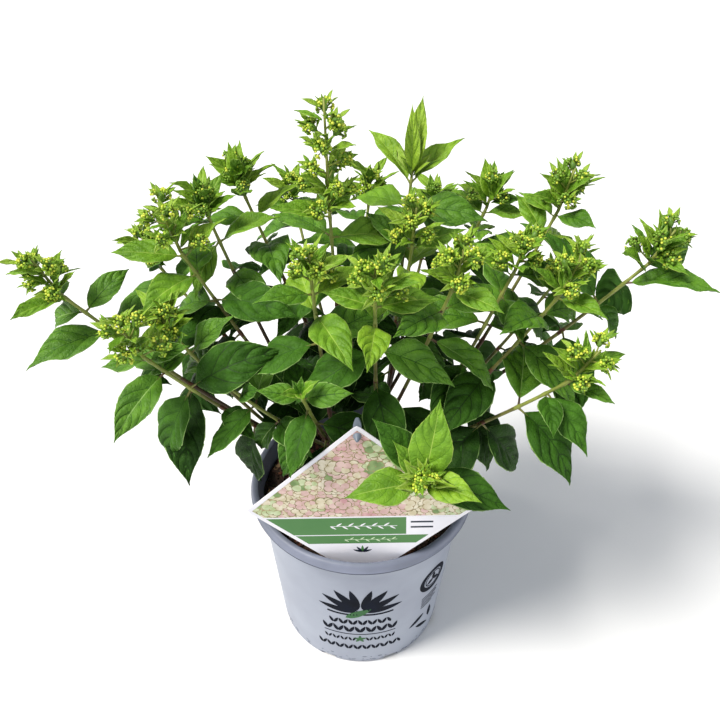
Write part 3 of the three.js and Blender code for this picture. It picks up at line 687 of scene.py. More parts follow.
class Batch:
    """Gathers many small shapes into one mesh."""

    def __init__(self):
        self.points = []
        self.faces = []
        self.kinds = []
        self.count = 0

    def take(self, points, faces, kinds):
        self.points.append(np.asarray(points, dtype=float).reshape(-1, 3))
        self.faces += [tuple(i + self.count for i in face) for face in faces]
        self.kinds += [kinds] * len(faces) if isinstance(kinds, int) else list(kinds)
        self.count += len(self.points[-1])

    def take_plate(self, front, back, faces, kind):
        """A thin closed plate: its front, the same faces turned for its back, and walls along its edge."""
        size = len(front)
        edges = {(face[n - 1], face[n]) for face in faces for n in range(len(face))}
        walls = [(b, a, a + size, b + size) for a, b in sorted(edges) if (b, a) not in edges]
        behind = [tuple(i + size for i in reversed(face)) for face in faces]
        self.take([*front, *back], [*faces, *behind, *walls], kind)

    def build(self, name, materials, smooth=True):
        mesh = bpy.data.meshes.new(name)
        mesh.from_pydata((np.concatenate(self.points) * MM).tolist(), [], self.faces)
        for material in materials:
            mesh.materials.append(material)
        mesh.polygons.foreach_set("material_index", self.kinds)
        mesh.polygons.foreach_set("use_smooth", [smooth] * len(mesh.polygons))
        mesh.update()
        return show(name, mesh)


def ring_faces(rows, sides):
    """The faces of a tube of some rows of points, with a cap at either end as the last two."""
    faces = []
    for r in range(rows - 1):
        for i in range(sides):
            j = (i + 1) % sides
            faces.append((r * sides + i, r * sides + j, (r + 1) * sides + j, (r + 1) * sides + i))
    faces.append(tuple(range(sides - 1, -1, -1)))
    faces.append(tuple((rows - 1) * sides + i for i in range(sides)))
    return faces


def round_tube(places, radii, sides):
    """A smooth tube through places given as points with two sideways directions."""
    angles = np.linspace(0, 2 * math.pi, sides, endpoint=False)
    rings = []
    for (centre, side, other), radius in zip(places, radii):
        rings.append(centre + radius * (np.outer(np.cos(angles), side) + np.outer(np.sin(angles), other)))
    return np.concatenate(rings), ring_faces(len(rings), sides)


def straight_places(a, b, shares):
    """Places at some shares of the way from a to b, as round_tube takes them."""
    side, other = sideways(unit(b - a))
    return [(a + (b - a) * s, side, other) for s in shares]


# Leaves

PETIOLE_SHARE = 0.09
VEIN_PAIRS = 5
VEIN_SWEEP = (0.36, 0.28)
# Heights of the blade at a vein and at the places between it and the next
QUILT_AT = (0.0, 0.055, 0.28, 0.56, 0.82)
QUILT = (-0.9, -0.9, 0.3, 0.75, 0.35)
QUILT_DEPTH = 0.021
# Closer rows below the first vein, where the outline turns fast
BASE_ROWS = [(0, 0), (0.03, 0), (0.12, 0.1), (0.2, 0.2), (0.28, 0.3), (0.42, 0.55)]
# How many of the first rows they stand for
BASE_ROWS_FOR = 3
MIDRIB_HALF = 0.42
MARGIN_STRIP = 0.75
BLADE_COLUMNS = (0.26, 0.52, 0.78)
SMALL_COLUMNS = np.array([-1, -0.5, 0, 0.5, 1])
SMALL_ROWS = 5
# The blade's outline: how full it is, and how it closes to its base and to its tip
BLADE_FULLNESS = 5.13
BASE_POWER = 0.95
TIP_POWER = 1.5
WIDER_THAN_SOLID = 1.13
TOOTH = 0.022
# How a leaf hangs: its tip droops, its midrib sways aside and its blade twists up to a share of its length
TIP_DROOP = 0.28
DROOP_FROM = 0.6
SWAY = 0.18
TWIST = 1.3
TWIST_TO = 0.75
# Its fold in degrees, at least and over that by luck, and what goes down at the margins
LEAST_FOLD = 20
MORE_FOLD = 16
MARGIN_ROLL = 0.22
SLOW_WAVE = 0.032
QUICK_WAVE = 0.011
# Skins of a fine leaf and of a plain one are this far apart, in millimetres
FINE_THICKNESS = 0.4
PLAIN_THICKNESS = 0.34


def blade_spread(share):
    """Half width of the blade, as a share of its widest, from a rounded base to a drawn-out tip."""
    along = np.clip((share - PETIOLE_SHARE) / (1 - PETIOLE_SHARE), 0, 1)
    return BLADE_FULLNESS * along ** BASE_POWER * (1 - along) ** TIP_POWER


def leaf_spine(leaf, share):
    """The midrib's place at a share of its length, with the ways out of the blade's face and across it."""
    share = np.asarray(share, dtype=float)
    angle = leaf["curl"] * share
    along = leaf["length"] * np.sin(angle) / leaf["curl"]
    droop = TIP_DROOP * np.maximum(0, share - DROOP_FROM) ** 2
    down = leaf["length"] * ((1 - np.cos(angle)) / leaf["curl"] + droop)
    aside = SWAY * (leaf["tilt"] - 0.5) * leaf["length"] * share ** 2
    across = np.cross(leaf["aim"], leaf["face"])
    face = leaf["face"] * np.cos(angle)[..., None] + leaf["aim"] * np.sin(angle)[..., None]
    twist = (TWIST * (leaf["luck"] - 0.5) * np.minimum(share, TWIST_TO))[..., None]
    point = leaf["root"] + leaf["aim"] * along[..., None] - leaf["face"] * down[..., None]
    point = point + across * aside[..., None]
    c, s = np.cos(twist), np.sin(twist)
    return point, face * c - across * s, across * c + face * s


def leaf_mesh(leaf, batch, looks, fine):
    """One leaf: folded along its midrib, quilted between its veins, waved and rolled down at its margins."""
    half_width = leaf["width"] / 2 * WIDER_THAN_SOLID
    if fine:
        side = [MIDRIB_HALF / half_width, *BLADE_COLUMNS, 1 - MARGIN_STRIP / half_width, 1]
        columns = np.array([-c for c in side[::-1]] + side)
        pairs = leaf.get("veins", VEIN_PAIRS)
        rows = [(k + at, high) for k in range(pairs) for at, high in zip(QUILT_AT, QUILT)]
        rows[:BASE_ROWS_FOR] = BASE_ROWS
        base = np.array([at for at, _ in rows])[:, None] / pairs
        height = np.array([high for _, high in rows])[:, None]
    else:
        columns = SMALL_COLUMNS
        base = (np.arange(SMALL_ROWS) / SMALL_ROWS)[:, None]
        height = np.zeros_like(base)
    u = np.abs(columns)[None, :]
    t = PETIOLE_SHARE + (1 - PETIOLE_SHARE) * base
    v = t + (VEIN_SWEEP[0] * u + VEIN_SWEEP[1] * u * u) * (1 - t) * (1 - np.exp((PETIOLE_SHARE - t) / 0.14))
    half = half_width * np.maximum(blade_spread(v), 0.025)
    if fine:
        tooth = TOOTH * ((np.arange(len(base)) % 2) * 2 - 1)[:, None]
        half = half * np.where(u > 0.99, 1 + tooth, 1)
    sign = np.sign(columns)[None, :]
    fold = math.radians(leaf.get("fold", LEAST_FOLD + MORE_FOLD * leaf["luck"])) * (1 - 0.4 * v)
    belly = half * (np.sin(fold) * u - MARGIN_ROLL * u ** 2.6)
    phase = 2 * math.pi * leaf["tilt"]
    slow = SLOW_WAVE * np.sin(8.5 * v + phase + sign * 1.3)
    quick = QUICK_WAVE * np.sin(23 * v + 2 * phase - sign)
    wave = leaf["length"] * u * u * (slow + quick)
    wave = wave * np.minimum(1, 2.5 * blade_spread(v))
    quilt = leaf.get("quilt", 1) * QUILT_DEPTH * leaf["length"] * height
    quilt = quilt * np.minimum(1, u * 6) * (1 - u ** 5)
    groove = np.where(u < 0.1, -0.3, 0)
    point, face, across = leaf_spine(leaf, v)
    aside = (sign * u * half * np.cos(fold))[..., None]
    upper = point + across * aside + face * (belly + wave + quilt + groove)[..., None]
    lower = upper[:, 1:-1] - face[:, 1:-1] * (FINE_THICKNESS if fine else PLAIN_THICKNESS)
    tip = leaf_spine(leaf, [1.0])[0]
    points = np.concatenate([upper.reshape(-1, 3), lower.reshape(-1, 3), tip])
    faces, kinds = leaf_faces(len(columns), len(base))
    batch.take(points, faces, [looks[k] for k in kinds])


def leaf_looks(age, luck):
    """The materials of a leaf's upper skin, underside, margin, veins and midrib, by its age in BLADES."""
    young = age > 3
    # The vein material, which most midribs take too, is darker than the blade: a painted shade of the
    # grooves
    vein = FIRST_VEIN_SHADE + (age > 1) + young
    midrib = FIRST_RIB + 1 if young and luck > 0.4 else FIRST_RIB if luck > 0.75 else vein
    return age, FIRST_UNDERSIDE + young, FIRST_RIB + young, vein, midrib


# The faces of each size of grid, kept once they are made
FACES_OF_GRID = {}


def leaf_faces(columns, rows):
    """Faces of a leaf's grid: 0 is the upper skin, 1 the underside, 2 a margin, 3 a vein, 4 the midrib."""
    if (columns, rows) in FACES_OF_GRID:
        return FACES_OF_GRID[columns, rows]
    base = columns * rows
    tip = base + (columns - 2) * rows
    def top(r, c):
        return tip if r == rows else r * columns + c
    def bottom(r, c):
        if r == rows:
            return tip
        return top(r, c) if c in (0, columns - 1) else base + r * (columns - 2) + c - 1
    faces, kinds = [], []
    fine = columns % 2 == 0
    for r in range(rows):
        rib = r - len(BASE_ROWS) + BASE_ROWS_FOR
        vein = fine and rib % len(QUILT) == 0 and rib > 0
        for c in range(columns - 1):
            midrib = fine and c == columns // 2 - 1 and r < rows - 2
            faces.append([top(r, c), top(r, c + 1), top(r + 1, c + 1), top(r + 1, c)])
            # Vein rows, and midribs that take the vein material, are coloured darker as a painted shade of
            # their grooves
            kinds.append(2 if c in (0, columns - 2) else 4 if midrib else 3 if vein else 0)
            faces.append([bottom(r + 1, c), bottom(r + 1, c + 1), bottom(r, c + 1), bottom(r, c)])
            kinds.append(1)
    for c in range(columns - 1):
        faces.append([bottom(0, c), bottom(0, c + 1), top(0, c + 1), top(0, c)])
        kinds.append(1)
    clean = []
    for face in faces:
        ordered = [i for n, i in enumerate(face) if i != face[n - 1]]
        clean.append(tuple(dict.fromkeys(ordered)))
    kept = [(f, k) for f, k in zip(clean, kinds) if len(f) > 2]
    FACES_OF_GRID[columns, rows] = ([f for f, _ in kept], [k for _, k in kept])
    return FACES_OF_GRID[columns, rows]


# Stations of the leaf stalk: share of the leaf's length, thickness, and how deep it lies under the blade
STALK_STATIONS = (
    (0, 1.25, 0),
    (0.05, 1, 0.1),
    (0.1, 0.85, 0.55),
    (0.2, 0.7, 0.8),
    (0.45, 0.45, 0.9),
    (0.75, 0.2, 1),
)


def petiole(leaf, batch, kind):
    """The leaf stalk, which runs on as the raised midrib under the blade."""
    thick = 1.05 if leaf["length"] > 50 else 0.7
    places, radii = [], []
    for share, radius, sink in STALK_STATIONS:
        point, face, across = leaf_spine(leaf, share)
        places.append((point - face * (thick * sink * 0.75 + 0.25 * (sink > 0.5)), across, face))
        radii.append(thick * radius)
    points, faces = round_tube(places, radii, 5)
    batch.take(points, [f[::-1] for f in faces], kind)


# The age of a leaf, as a place in BLADES, for each pair from the tip down
PAIR_AGE = (4, 4, 3, 2, 1, 0)


def leaf_age(leaf):
    """A leaf is the older the further down its shoot and the lower on the plant it grows."""
    luck, height = leaf["luck"], leaf["root"][2]
    age = PAIR_AGE[leaf["pair"]] - (luck < 0.35) + (luck > 0.8) - (height < 370) - (height < 320)
    youngest = 3 if height < 410 or leaf["length"] > 75 else 5
    return max(0, min(youngest, age))


def dress_leaves(shoots, names, title):
    """The leaves of some canes' shoots, and their stalks."""
    batch = Batch()
    stalks = Batch()
    for shoot in shoots:
        if shoot["cane"] not in names:
            continue
        for leaf in shoot["leaves"]:
            age = leaf_age(leaf)
            leaf_mesh(leaf, batch, leaf_looks(age, leaf["luck"]), True)
            petiole(leaf, stalks, 0 if age > 3 else 1 + (leaf["luck"] > 0.6))
        for n, leaf in enumerate(shoot["tuft"]):
            leaf.update(luck=0.3 + 0.4 * chance(shoot["index"], n, 11), tilt=chance(shoot["index"], n, 12))
            leaf.update(fold=48 if shoot["head"] == "tall" else 26, quilt=0.6)
            leaf_mesh(leaf, batch, leaf_looks(leaf["age"], leaf["luck"]), True)
            petiole(leaf, stalks, 0)
    piece = batch.build("leaves_" + title, LEAF_MATERIALS)
    stalk = stalks.build("leaf_stalks_" + title, STEMS)
    return piece, stalk


# Places in STEMS
GREEN, OLIVE, TAN, RUSSET = range(4)
SHOOT_SIDES = 9
SWELL = 0.32
SWELL_REACH = 3.2
# How far below its tip a shoot turns olive, then russet at its nodes, then tan, in millimetres
OLIVE_FROM = 62
RUSSET_FROM = 80
TAN_FROM = 120


def dress_stems(shoots, canes):
    """Green shoots as round stems, swollen at each pair of leaves, riper and redder towards the cane."""
    batch = Batch()
    for cane in canes.values():
        start, heading = cane["line"].point(1), cane["line"].heading(1)
        places = straight_places(start + heading * GAP, cane["start"] + heading * 2, (0, 0.5, 1))
        batch.take(*round_tube(places, (3.1, 3.0, 2.5), 14), TAN)
    for shoot in shoots:
        line = shoot["line"]
        steps = int(line.length / 4)
        sides = line.frames(steps)
        late = 0.6 + 0.65 * chance(shoot["index"], 0, 63)
        places, radii, ripe = [], [], []
        for i in range(steps + 1):
            share = i / steps
            below = line.length * (1 - share)
            near = min([abs(share - node) * line.length for node in shoot["nodes"]] + [99])
            swell = 1 + SWELL * math.exp(-(near / SWELL_REACH) ** 2)
            places.append((line.point(share), *sides[i]))
            radii.append((1.4 + 0.6 * (below / 230)) * swell)
            if near <= 4 and below >= RUSSET_FROM * late:
                ripe.append(RUSSET)
            elif below < OLIVE_FROM * late:
                ripe.append(GREEN)
            else:
                ripe.append(OLIVE if below < TAN_FROM * late else TAN)
        points, faces = round_tube(places, radii, SHOOT_SIDES)
        kinds = [ripe[i // SHOOT_SIDES] for i in range(len(faces) - 2)] + [TAN, GREEN]
        batch.take(points, faces, kinds)
        if shoot["knots"]:
            places = straight_places(line.end - line.heading(1) * 2, shoot["crown"], np.linspace(0, 1, 5))
            batch.take(*round_tube(places, np.linspace(1.6, 0.9, 5), 7), GREEN)
            for root, end, _ in shoot["knots"]:
                places = straight_places(root, root + (end - root) * BELLY_SHARE, (0, 0.5, 1))
                batch.take(*round_tube(places, (0.95, 0.75, 0.65), 5), GREEN)
    return batch.build("green_shoots", STEMS)


# Flower heads

BUD_RADIUS = 1.2
UMBELS_PER_KNOT = 7
BUDS_PER_UMBEL = 6


def knot_points(shoot):
    """Places of buds, in small tight clusters over the outer side of each knot, with the buds' sizes and
    the clusters' stalks."""
    spots, sizes, stalks = [], [], []
    for n, (root, end, radius) in enumerate(shoot["knots"]):
        axis = unit(end - root)
        side, other = sideways(axis)
        centre = root + (end - root) * BELLY_SHARE
        for j in range(UMBELS_PER_KNOT):
            seed = shoot["index"] + n * 31
            height = 1 - 1.25 * (j + 0.5) / UMBELS_PER_KNOT
            around = math.radians(GOLDEN_TURN * j + 360 * chance(shoot["index"], n, 13))
            ring = math.sqrt(max(0, 1 - height * height))
            out = axis * height + side * ring * math.cos(around) + other * ring * math.sin(around)
            middle = centre + out * radius * (0.6 + 0.3 * chance(seed, j, 27))
            a = unit(np.cross(out, side + 0.3 * other))
            b = np.cross(out, a)
            for i in range(BUDS_PER_UMBEL):
                turn = 2 * math.pi * (i / (BUDS_PER_UMBEL - 1) + chance(seed, j, 28))
                away = 0 if i == 0 else 1.9 + 0.7 * chance(seed + j, i, 14)
                lift = 1.3 if i == 0 else 0.9 * chance(seed + j, i, 29)
                spots.append(middle + (a * math.cos(turn) + b * math.sin(turn)) * away + out * lift)
                sizes.append(0.78 + 0.42 * chance(seed + j, i, 15))
            stalks.append((centre - axis * radius * 0.3, middle))
    return spots, sizes, stalks


def bud_tree(seed):
    """Geometry Nodes: a faceted round bud on each point, as large as its size says, made real."""
    tree = bpy.data.node_groups.new("bud_on_point", "GeometryNodeTree")
    tree.interface.new_socket("Points", in_out="INPUT", socket_type="NodeSocketGeometry")
    tree.interface.new_socket("Buds", in_out="OUTPUT", socket_type="NodeSocketGeometry")
    radius = tree.interface.new_socket("Bud radius", in_out="INPUT", socket_type="NodeSocketFloat")
    radius.default_value = BUD_RADIUS * MM
    entry = add(tree, "NodeGroupInput")
    size = add(tree, "GeometryNodeInputNamedAttribute", {"Name": "size"}, data_type="FLOAT")
    ball = add(tree, "GeometryNodeMeshUVSphere", {
        "Radius": entry.outputs["Bud radius"], "Segments": 6, "Rings": 4})
    turn = add(tree, "FunctionNodeRandomValue", {"Max": (6.2, 6.2, 6.2), "Seed": seed},
               data_type="FLOAT_VECTOR")
    set_on = add(tree, "GeometryNodeInstanceOnPoints", {
        "Points": entry.outputs["Points"], "Instance": ball.outputs["Mesh"],
        "Rotation": turn.outputs["Value"], "Scale": size.outputs["Attribute"]})
    real = add(tree, "GeometryNodeRealizeInstances", {"Geometry": set_on.outputs["Instances"]})
    smooth = add(tree, "GeometryNodeSetShadeSmooth", {"Geometry": real.outputs["Geometry"]})
    coat = add(tree, "GeometryNodeSetMaterial", {"Geometry": smooth.outputs["Geometry"]})
    add(tree, "NodeGroupOutput", {"Buds": coat.outputs["Geometry"]})
    return tree, coat


def made_real(carrier, name):
    """The evaluated result of a piece's modifiers as a plain mesh of its own."""
    bpy.context.view_layer.update()
    graph = bpy.context.evaluated_depsgraph_get()
    mesh = bpy.data.meshes.new_from_object(carrier.evaluated_get(graph))
    mesh.name = name
    bpy.data.objects.remove(carrier)
    return show(name, mesh)


# Places in BUDS
LIME, YELLOW, DEEP_GREEN = range(3)
BUD_NAMES = ("flower_buds_lime", "flower_buds_yellow", "flower_buds_green")


def dress_buds(shoots):
    """The buds in their three colours, and the stalks and hearts that they sit on."""
    groups = [[], [], []]
    stalks = Batch()
    for shoot in shoots:
        spots, sizes, lines = knot_points(shoot)
        for n, (spot, size) in enumerate(zip(spots, sizes)):
            luck = chance(shoot["index"], n, 16)
            shade = luck + (0.35 if n % BUDS_PER_UMBEL == 0 else 0)
            green = 0.8 if shoot["index"] in LEAFY_HEADS else 0.28
            kind = DEEP_GREEN if luck < green else LIME if shade < 0.75 else YELLOW
            groups[kind].append((spot, size))
        for a, b in lines:
            stalks.take(*round_tube(straight_places(a, b, (0, 0.6, 1)), (0.5, 0.5, 1.3), 4), 0)
        for root, end, radius in shoot["knots"]:
            centre, along = root + (end - root) * BELLY_SHARE, unit(end - root)
            places = straight_places(centre - along * radius * 0.7, centre + along * radius * 0.55,
                                     (0, 0.2, 0.5, 0.8, 1))
            stalks.take(*round_tube(places, [radius * k for k in (0.1, 0.3, 0.42, 0.34, 0.1)], 7), 1)
    pieces = []
    for kind, (group, material) in enumerate(zip(groups, BUDS)):
        mesh = bpy.data.meshes.new("bud_points")
        mesh.from_pydata([tuple(p * MM) for p, _ in group], [], [])
        mesh.attributes.new("size", "FLOAT", "POINT").data.foreach_set("value", [s for _, s in group])
        carrier = show("bud_points", mesh)
        tree, coat = bud_tree(kind)
        coat.inputs["Material"].default_value = material
        carrier.modifiers.new("buds", "NODES").node_group = tree
        pieces.append(made_real(carrier, BUD_NAMES[kind]))
    pieces.append(stalks.build("flower_stalks", [STEMS[0], HEART]))
    return pieces


SPIKES_PER_KNOT = 10
LEAFY_BRACTS = 6
TUFT_SPRIGS = 6
TIP_SPRIGS = 5
# Heads that are still mostly leaf, by the number of their shoot, with how many young leaves stand in them
LEAFY_HEADS = {4: 3, 6: 8, 12: 6, 13: 3, 14: 4, 15: 5}


def sprig(batch, start, heading, turn, angle, curl, length, spread, luck, tilt, looks, veins=0):
    """A small leaf of a head or a tip: a fine one with some pairs of veins, or a plain one with none."""
    leaf = leaf_at(start, heading, turn, angle, 0, curl, length, length * spread, True)
    leaf.update(luck=luck, tilt=tilt, veins=veins)
    leaf_mesh(leaf, batch, looks, veins > 0)


def dress_bracts(shoots, names, title):
    """The bracts of the rule, finer ones at every knot, and the youngest leaves of heads and bare tips."""
    batch = Batch()
    for shoot in shoots:
        if shoot["cane"] not in names:
            continue
        index, tip = shoot["index"], shoot["line"].end
        for n, bract in enumerate(shoot["bracts"]):
            luck = chance(index, n, 17)
            bract.update(luck=luck, tilt=luck, veins=4)
            leaf_mesh(bract, batch, leaf_looks(4 + int(luck * 3), luck), True)
        young = LEAFY_HEADS.get(index, 0)
        for n, (root, end, _) in enumerate(shoot["knots"]):
            upright = unit(unit(end - root) + 0.35 * UP)
            for k in range(SPIKES_PER_KNOT - young):
                luck = chance(index * 7 + n, k, 18)
                long = k % 4 == 1
                start = root + (end - root) * (0.3 + 0.3 * chance(n, k, 22))
                sprig(batch, start, upright, GOLDEN_TURN * k + 60 * luck, 16 + 44 * chance(n, k, 23), 0.35,
                      (16 if long else 10) + 6 * luck, 0.27 if long else 0.34, luck, 1 - luck,
                      (4 + int(luck * 3), FIRST_UNDERSIDE + 1, FIRST_RIB + 1 if luck > 0.5 else 5))
        for k in range(LEAFY_BRACTS if shoot["bracts"] else 0):
            luck = chance(index, k, 24)
            sprig(batch, tip + shoot["axis"] * 3.4 * k, unit(shoot["axis"] + 0.7 * UP),
                  GOLDEN_TURN * k + 90 * chance(index, k, 25), 22 + 24 * luck, 0.4, 26 + 13 * luck, 0.28,
                  luck, 1 - luck, leaf_looks(4 + (luck > 0.4), luck), 3)
        for k in range(young):
            luck = chance(index, k, 64)
            share = k / young
            start = tip + shoot["axis"] * shoot["head"] * (0.2 - 0.15 * share)
            sprig(batch, start, unit(shoot["axis"] + 0.9 * UP), GOLDEN_TURN * k + 50 * luck, 10 + 62 * share,
                  0.3 + 0.4 * share, 34 + 8 * luck, 0.4 - 0.12 * share, luck, 1 - luck,
                  leaf_looks(3 + (luck > 0.3) + (luck > 0.8), luck), 4)
        for k in range(TUFT_SPRIGS if shoot["tuft"] else 0):
            luck = chance(index, k, 19)
            sprig(batch, tip, shoot["axis"], 60 * k + 40 * luck, 18 + 20 * luck, 0.4, 20 + 16 * luck, 0.34,
                  luck, luck, (5 + (luck > 0.4), FIRST_UNDERSIDE + 1, FIRST_RIB + 1))
        for k in range(TIP_SPRIGS if shoot["head"] == -1 else 0):
            luck = chance(index, k, 65)
            sprig(batch, tip, unit(shoot["line"].heading(1) + 0.4 * UP), 72 * k + 40 * luck, 12 + 30 * luck,
                  0.4, 14 + 12 * luck, 0.42, luck, luck, leaf_looks(3 + (luck > 0.5), luck), 3)
    return batch.build("bracts_" + title, LEAF_MATERIALS)


# Wood

BARK_SIDES = 20
BARK_STEP = 2.2


def bark_tube(line, foot_radius, tip_radius, seed):
    """A cane with strips of peeling bark: long ridges that break off here and there."""
    steps = int(line.length / BARK_STEP)
    frames = line.frames(steps)
    angles = np.linspace(0, 2 * math.pi, BARK_SIDES, endpoint=False)
    rings = []
    for i in range(steps + 1):
        share = i / steps
        radius = foot_radius + (tip_radius - foot_radius) * share
        ridge = []
        for j, a in enumerate(angles):
            strip = 0.22 * (chance(seed, j, 21 + i // 6) - 0.5)
            flute = 0.12 * math.sin(5 * a + i * 0.35 + seed)
            ridge.append(strip + flute + 0.08 * (chance(seed, j, 60 + i) - 0.5))
        side, other = frames[i]
        out = np.outer(np.cos(angles), side) + np.outer(np.sin(angles), other)
        rings.append(line.point(share) + (radius + np.array(ridge))[:, None] * out)
    return np.concatenate(rings), ring_faces(len(rings), BARK_SIDES)


def dress_canes(canes):
    """The canes from the stool up to their forks."""
    batch = Batch()
    for n, cane in enumerate(canes.values()):
        batch.take(*bark_tube(cane["line"], CANE_FOOT_RADIUS, CANE_TIP_RADIUS, n), 0)
    return batch.build("canes", [BARK])


STOOL_SIDES = 56
STOOL_ROWS = 26


def dress_stool():
    """The woody stool: a fluted foot, drawn in to the knuckle that the canes rise from."""
    batch = Batch()
    rings = []
    for r in range(STOOL_ROWS + 1):
        h = r / STOOL_ROWS
        outline = np.interp(h, *zip(*STOOL_OUTLINE))
        ring = []
        for i in range(STOOL_SIDES):
            a = 2 * math.pi * i / STOOL_SIDES
            flute = 0.035 * math.sin(11 * a + 2 * h)
            flute = flute + 0.03 * (chance(i, r // 3, 31) - 0.5) + 0.02 * (chance(i, r, 32) - 0.5)
            radius = STOOL_FOOT_RADIUS * outline * (stool_lobe(a) + flute)
            ring.append(vector(radius * math.cos(a), radius * math.sin(a), ROOT_HEIGHT + STOOL_HEIGHT * h))
        rings.append(ring)
    batch.take(np.array(rings).reshape(-1, 3), ring_faces(STOOL_ROWS + 1, STOOL_SIDES), 0)
    return batch.build("stool_wood", [OLD_BARK])


def add_star_knots(shoot):
    """Six small knots of buds in the middle of the low tuft at the front."""
    tip, axis = shoot["line"].end, shoot["axis"]
    shoot["crown"] = tip + axis * 9
    for k in range(6):
        ray = vector(math.cos(1.9 * k + 0.4), math.sin(1.9 * k + 0.4), 0)
        foot = tip + axis * (1 + 2 * k)
        shoot["knots"].append((foot, foot + ray * (17 - 2.4 * k) + axis * 10, 5.2))


canes, shoots = grow()
for shoot in shoots:
    if shoot["head"] == "star":
        add_star_knots(shoot)
SIDES = {
    "west": ("west", "northwest"),
    "back": ("north", "northeast"),
    "east": ("east", "southeast"),
    "front": ("south", "southwest"),
}
every_mass = ["shoots_" + name for name in CANES]
for title, names in SIDES.items():
    for piece in (*dress_leaves(shoots, names, title), dress_bracts(shoots, names, title)):
        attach(piece, "root")
        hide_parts(*["shoots_" + name for name in names])
for piece in [dress_stems(shoots, canes)] + dress_buds(shoots):
    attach(piece, "root")
    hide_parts(*every_mass)
for piece, nodes in ((dress_canes(canes), ["cane_" + name for name in CANES]), (dress_stool(), ["stool"])):
    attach(piece, "root")
    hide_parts(*nodes)


# Pot

# The printed film is smooth, with a soft satin gloss
PRINT = finish("pot_print_film", "9ea5b3", "9399a8", 60, 0.45, (1.5, 0.06, 0.3), Specular_IOR_Level=0.35)
# Bare moulded plastic, a shade darker and duller
POLYTHENE = finish("moulded_polythene_grey", "80869a", "717788", 40, 0.5, (1.2, 0.1, 0.4))
# The underside of the rolled lip is coloured dark: a painted shade of the seam under it, drawing a dark line
# round the pot
SEAM_PAINTED_SHADE = finish("rolled_seam_painted_shade", "5a6070", "4c5262", 30, 0.7, (1, 1, 0.3), Specular_IOR_Level=0.25)
# Printing inks lie flat and matt on the film
INK = finish("print_ink_navy", "0d1424", "090e18", 20, 0.6, Specular_IOR_Level=0.05)
INK_GREEN = finish("print_ink_green", "2f6a34", "26592c", 20, 0.5, Specular_IOR_Level=0.2)
# Small scuffs round the foot, where the film is rubbed through to the grey plastic
SCUFF = finish("scuffed_film", "8a909c", "6e747f", 3, 0.7, Specular_IOR_Level=0.2)
# Places in the pot's materials
FILM, BARE, SHADED_SEAM = range(3)


def pot_radius(z):
    """Half the width of the pot's tapered wall at some height."""
    return FOOT_RADIUS + (SHOULDER_RADIUS - FOOT_RADIUS) * z / POT_HEIGHT


WALL_RIPPLE = 0.2
POT_SIDES = 160


